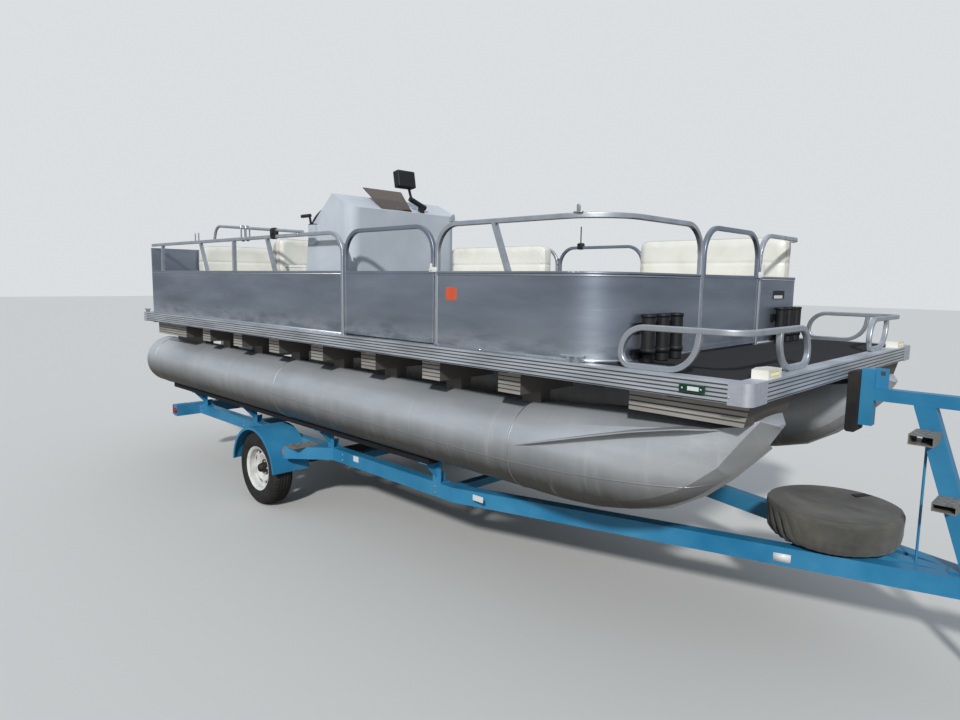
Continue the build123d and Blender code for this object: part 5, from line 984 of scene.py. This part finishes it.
# %% Grip plates on the steps
def grip(low, high, pitch=0.032):
    """Tread plate: short raised bars in rows, turned one way and the other in turn."""
    xs = np.arange(low[0] + pitch * 0.7, high[0] - pitch * 0.5, pitch)
    ys = np.arange(low[1] + pitch * 0.7, high[1] - pitch * 0.5, pitch)
    parts = [pillow(low, high, 16, 9, 24)]
    for row, x in enumerate(xs):
        for column, y in enumerate(ys):
            reach = np.array([0.010, 0.010 if (row + column) % 2 else -0.010, 0])
            bar = [(x, y, high[2]) + reach * share for share in (-1, -0.3, 0.3, 1)]
            parts.append(swept(bar, ring(0.0016, 5)))
    return joined(parts)


plates = [
    both_sides(grip(place(-3636, -1096, -934), place(-3480, -858, -931))),
    grip(place(303, -197, -291), place(397, -46, -288.6), 0.026),
    grip(place(414, -197, -582), place(502, -46, -579.6), 0.026),
]
add_mesh("step_grip_plates", plates, grip_plate)
print("trailer hardware made")

# %% [markdown]
# ## Helm
# The dash faces the chair: round gauges in chromed rims on a dark panel, and a row of switches.

# %% Dash, gauges and switches
brow, shelf = place(-3206, 0, 697), place(-3254, 0, 419)
down = shelf - brow
dash_tilt = down / np.linalg.norm(down)
dash_out = np.cross(dash_tilt, (0, 1, 0))
dash_out *= -np.sign(dash_out[0])


def on_dash(y, share, out=0.0):
    """Point on the dash face: a share of the way down from the brow, some metres proud of it."""
    spot = brow + down * share + dash_out * out
    return np.array([spot[0], y / 1000, spot[2]])


def panel(y0, y1, s0, s1, out, thick=0.003):
    """Flat plate lying on the dash between two Y values and two shares."""
    outline = ((y0, s0), (y1, s0), (y1, s1), (y0, s1))
    return np.array([on_dash(y, s, o) for o in (out - thick, out) for y, s in outline]), BOX_FACES


panels = [panel(-1020, -640, 0.06, 0.30, 0.003), panel(-560, -240, 0.08, 0.40, 0.003)]
add_mesh("dash_panel", panels, black_plastic, smooth=False)
# Each gauge: Y, share of the way down the dash, radius
GAUGES = (
    (-970, 0.18, 0.036), (-880, 0.18, 0.036), (-760, 0.18, 0.036),
    (-680, 0.18, 0.030), (-480, 0.22, 0.026), (-400, 0.22, 0.026),
)
rims, dials, needles = [], [], []
for y, s, r in GAUGES:
    spot, inner = on_dash(y, s, 0.003), r - 0.006
    rim = [(r, 0), (r, 0.007), (r - 0.004, 0.009), (inner, 0.006), (inner, 0)]
    rims.append(turned(rim, spot, dash_out))
    dials.append(turned([(inner, 0.0), (inner, 0.0045), (0, 0.005)], spot, dash_out))
    needle = [spot + dash_out * 0.0062 - dash_tilt * r * share for share in (0, 0.35, 0.7)]
    needles.append(swept(needle, ring(0.0009, 5), reference=(0, 1, 0)))
add_mesh("gauge_rims", rims, chrome)
add_mesh("gauge_dials", dials, moulded_plastic("gauge_dial", "#101214", 0.25))
switches = [panel(y - 8, y + 8, 0.20, 0.27, 0.010, 0.008) for y in (-350, -322, -294, -266)]
add_mesh("gauge_needles", needles, white_tape)
add_mesh("dash_switches", switches, black_plastic, smooth=False)
print("dash made")

# %% [markdown]
# ## Outboard cover
# The engine cover is a soft-cornered shell. Each level is a rounded rectangle whose size and place change
# with height, and a groove marks where the upper cover meets the lower pan.

# %% Cowl as stacked rounded sections
# Height, fore end, aft end and half width of each level
COWL = (
    (-62, -40, 0, 60, 66, 72, 78, 150, 220, 270, 300, 316, 322),
    (-6560, -6530, -6492, -6470, -6474, -6474, -6469, -6468, -6490, -6525, -6560, -6610, -6680),
    (-6930, -6955, -6985, -7002, -6998, -6998, -7003, -7007, -7005, -6990, -6965, -6925, -6870),
    (120, 150, 172, 181, 178, 178, 182, 183, 178, 165, 142, 105, 50),
)


def cowl_surface(between=6, around_it=96):
    """Cover: at each height a curve of a cosine raised to 0.45 and a sine raised to 0.55."""
    last = len(COWL[0]) - 1
    steps = np.linspace(0, last, between * last + 1)
    rows = [np.interp(steps, np.arange(last + 1), row)[:, None] for row in COWL]
    height, fore, aft, half = rows
    angle = around(around_it)[None, :]
    x = (fore + aft) / 2 + (fore - aft) / 2 * eased(np.cos(angle), 0.45)
    y = half * eased(np.sin(angle), 0.55)
    return place(x, y, height).reshape(-1, 3), capped_faces(len(steps), around_it)


cowl = add_mesh("cowl_cover", cowl_surface(), motor_paint, "motor")
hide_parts("outboard_cowl")
spots = [(-6990, -6960, y - 26, y + 26, z, z + 7) for y in (-60, 60) for z in (170, 186, 202)]
parts = blocks(*spots, rows_round=COARSE) + blocks((-6475, -6462, -30, 30, 40, 70))
add_mesh("cowl_vents_and_latch", parts, black_plastic, "motor")
print("outboard cover made")

# %% [markdown]
# ## Camera, floor and light
# The camera stands just ahead of the bow to starboard, at eye height, and looks aft. Yaw, pitch and roll
# follow from the boat's straight edges.

# %% Camera
yaw, pitch, roll = radians(44.379), radians(6.877), radians(0.821)
forward = Vector((-sin(yaw) * cos(pitch), cos(yaw) * cos(pitch), -sin(pitch)))
level = Vector((cos(yaw), sin(yaw), 0))
upward = level.cross(forward)
right = cos(roll) * level + sin(roll) * upward
up = cos(roll) * upward - sin(roll) * level
camera = link("camera", bpy.data.cameras.new("camera"))
turn = Matrix((right, up, -forward)).transposed().to_4x4()
camera.matrix_world = Matrix.Translation(Vector(place(960.9, -3625.0, 365.4))) @ turn
camera.data.sensor_width = 36.0
camera.data.lens = 24.84
camera.data.clip_end = 200.0
bpy.context.scene.camera = camera

# %% Floor and light
def floor_sheet():
    """Pale matt floor, a flat square at zero."""
    mesh = bpy.data.meshes.new("floor")
    mesh.from_pydata([(x, y, 0) for x, y in flat(60.0, 60.0)], [], [(0, 1, 2, 3)])
    m = Shader("pale_floor")
    seen = m.add("LightPath")["Is Camera Ray"]
    mesh.materials.append(m.finish(m.blend(seen, "#8e877c", "#d9d7d2"), 0.9))
    link("floor", mesh)


def soft_sun(name, direction, strength, spread):
    """Even light from far away, its disc wide enough for soft shadows."""
    lamp = bpy.data.lights.new(name, "SUN")
    lamp.energy = strength
    lamp.angle = radians(spread)
    link(name, lamp).rotation_euler = Vector(direction).to_track_quat("-Z", "Y").to_euler()


floor_sheet()
world = bpy.data.worlds.new("studio")
bpy.context.scene.world = world
world.use_nodes = True
tree = world.node_tree
rays = add_node(tree, "LightPath")
seen = (rays["Is Camera Ray"], rays["Is Transmission Ray"])
seen = add_node(tree, "Math", seen, operation="MAXIMUM")["Value"]
give(tree.nodes["Background"], {"Color": "#d6e2f0", "Strength": 0.58})
sky = tree.nodes["Background"].outputs["Background"]
backdrop = add_node(tree, "Background", {"Color": "#e6e9ec", "Strength": 0.9})["Background"]
light = add_node(tree, "MixShader", (seen, sky, backdrop))["Shader"]
give(tree.nodes["World Output"], {"Surface": light})
soft_sun("key", (-1.0, 1.5, -1.05), 2.5, 4.0)
soft_sun("fill", (0.7, -0.5, -0.9), 0.2, 60.0)
bpy.context.scene.view_settings.view_transform = "Standard"
print("camera, floor and light set")
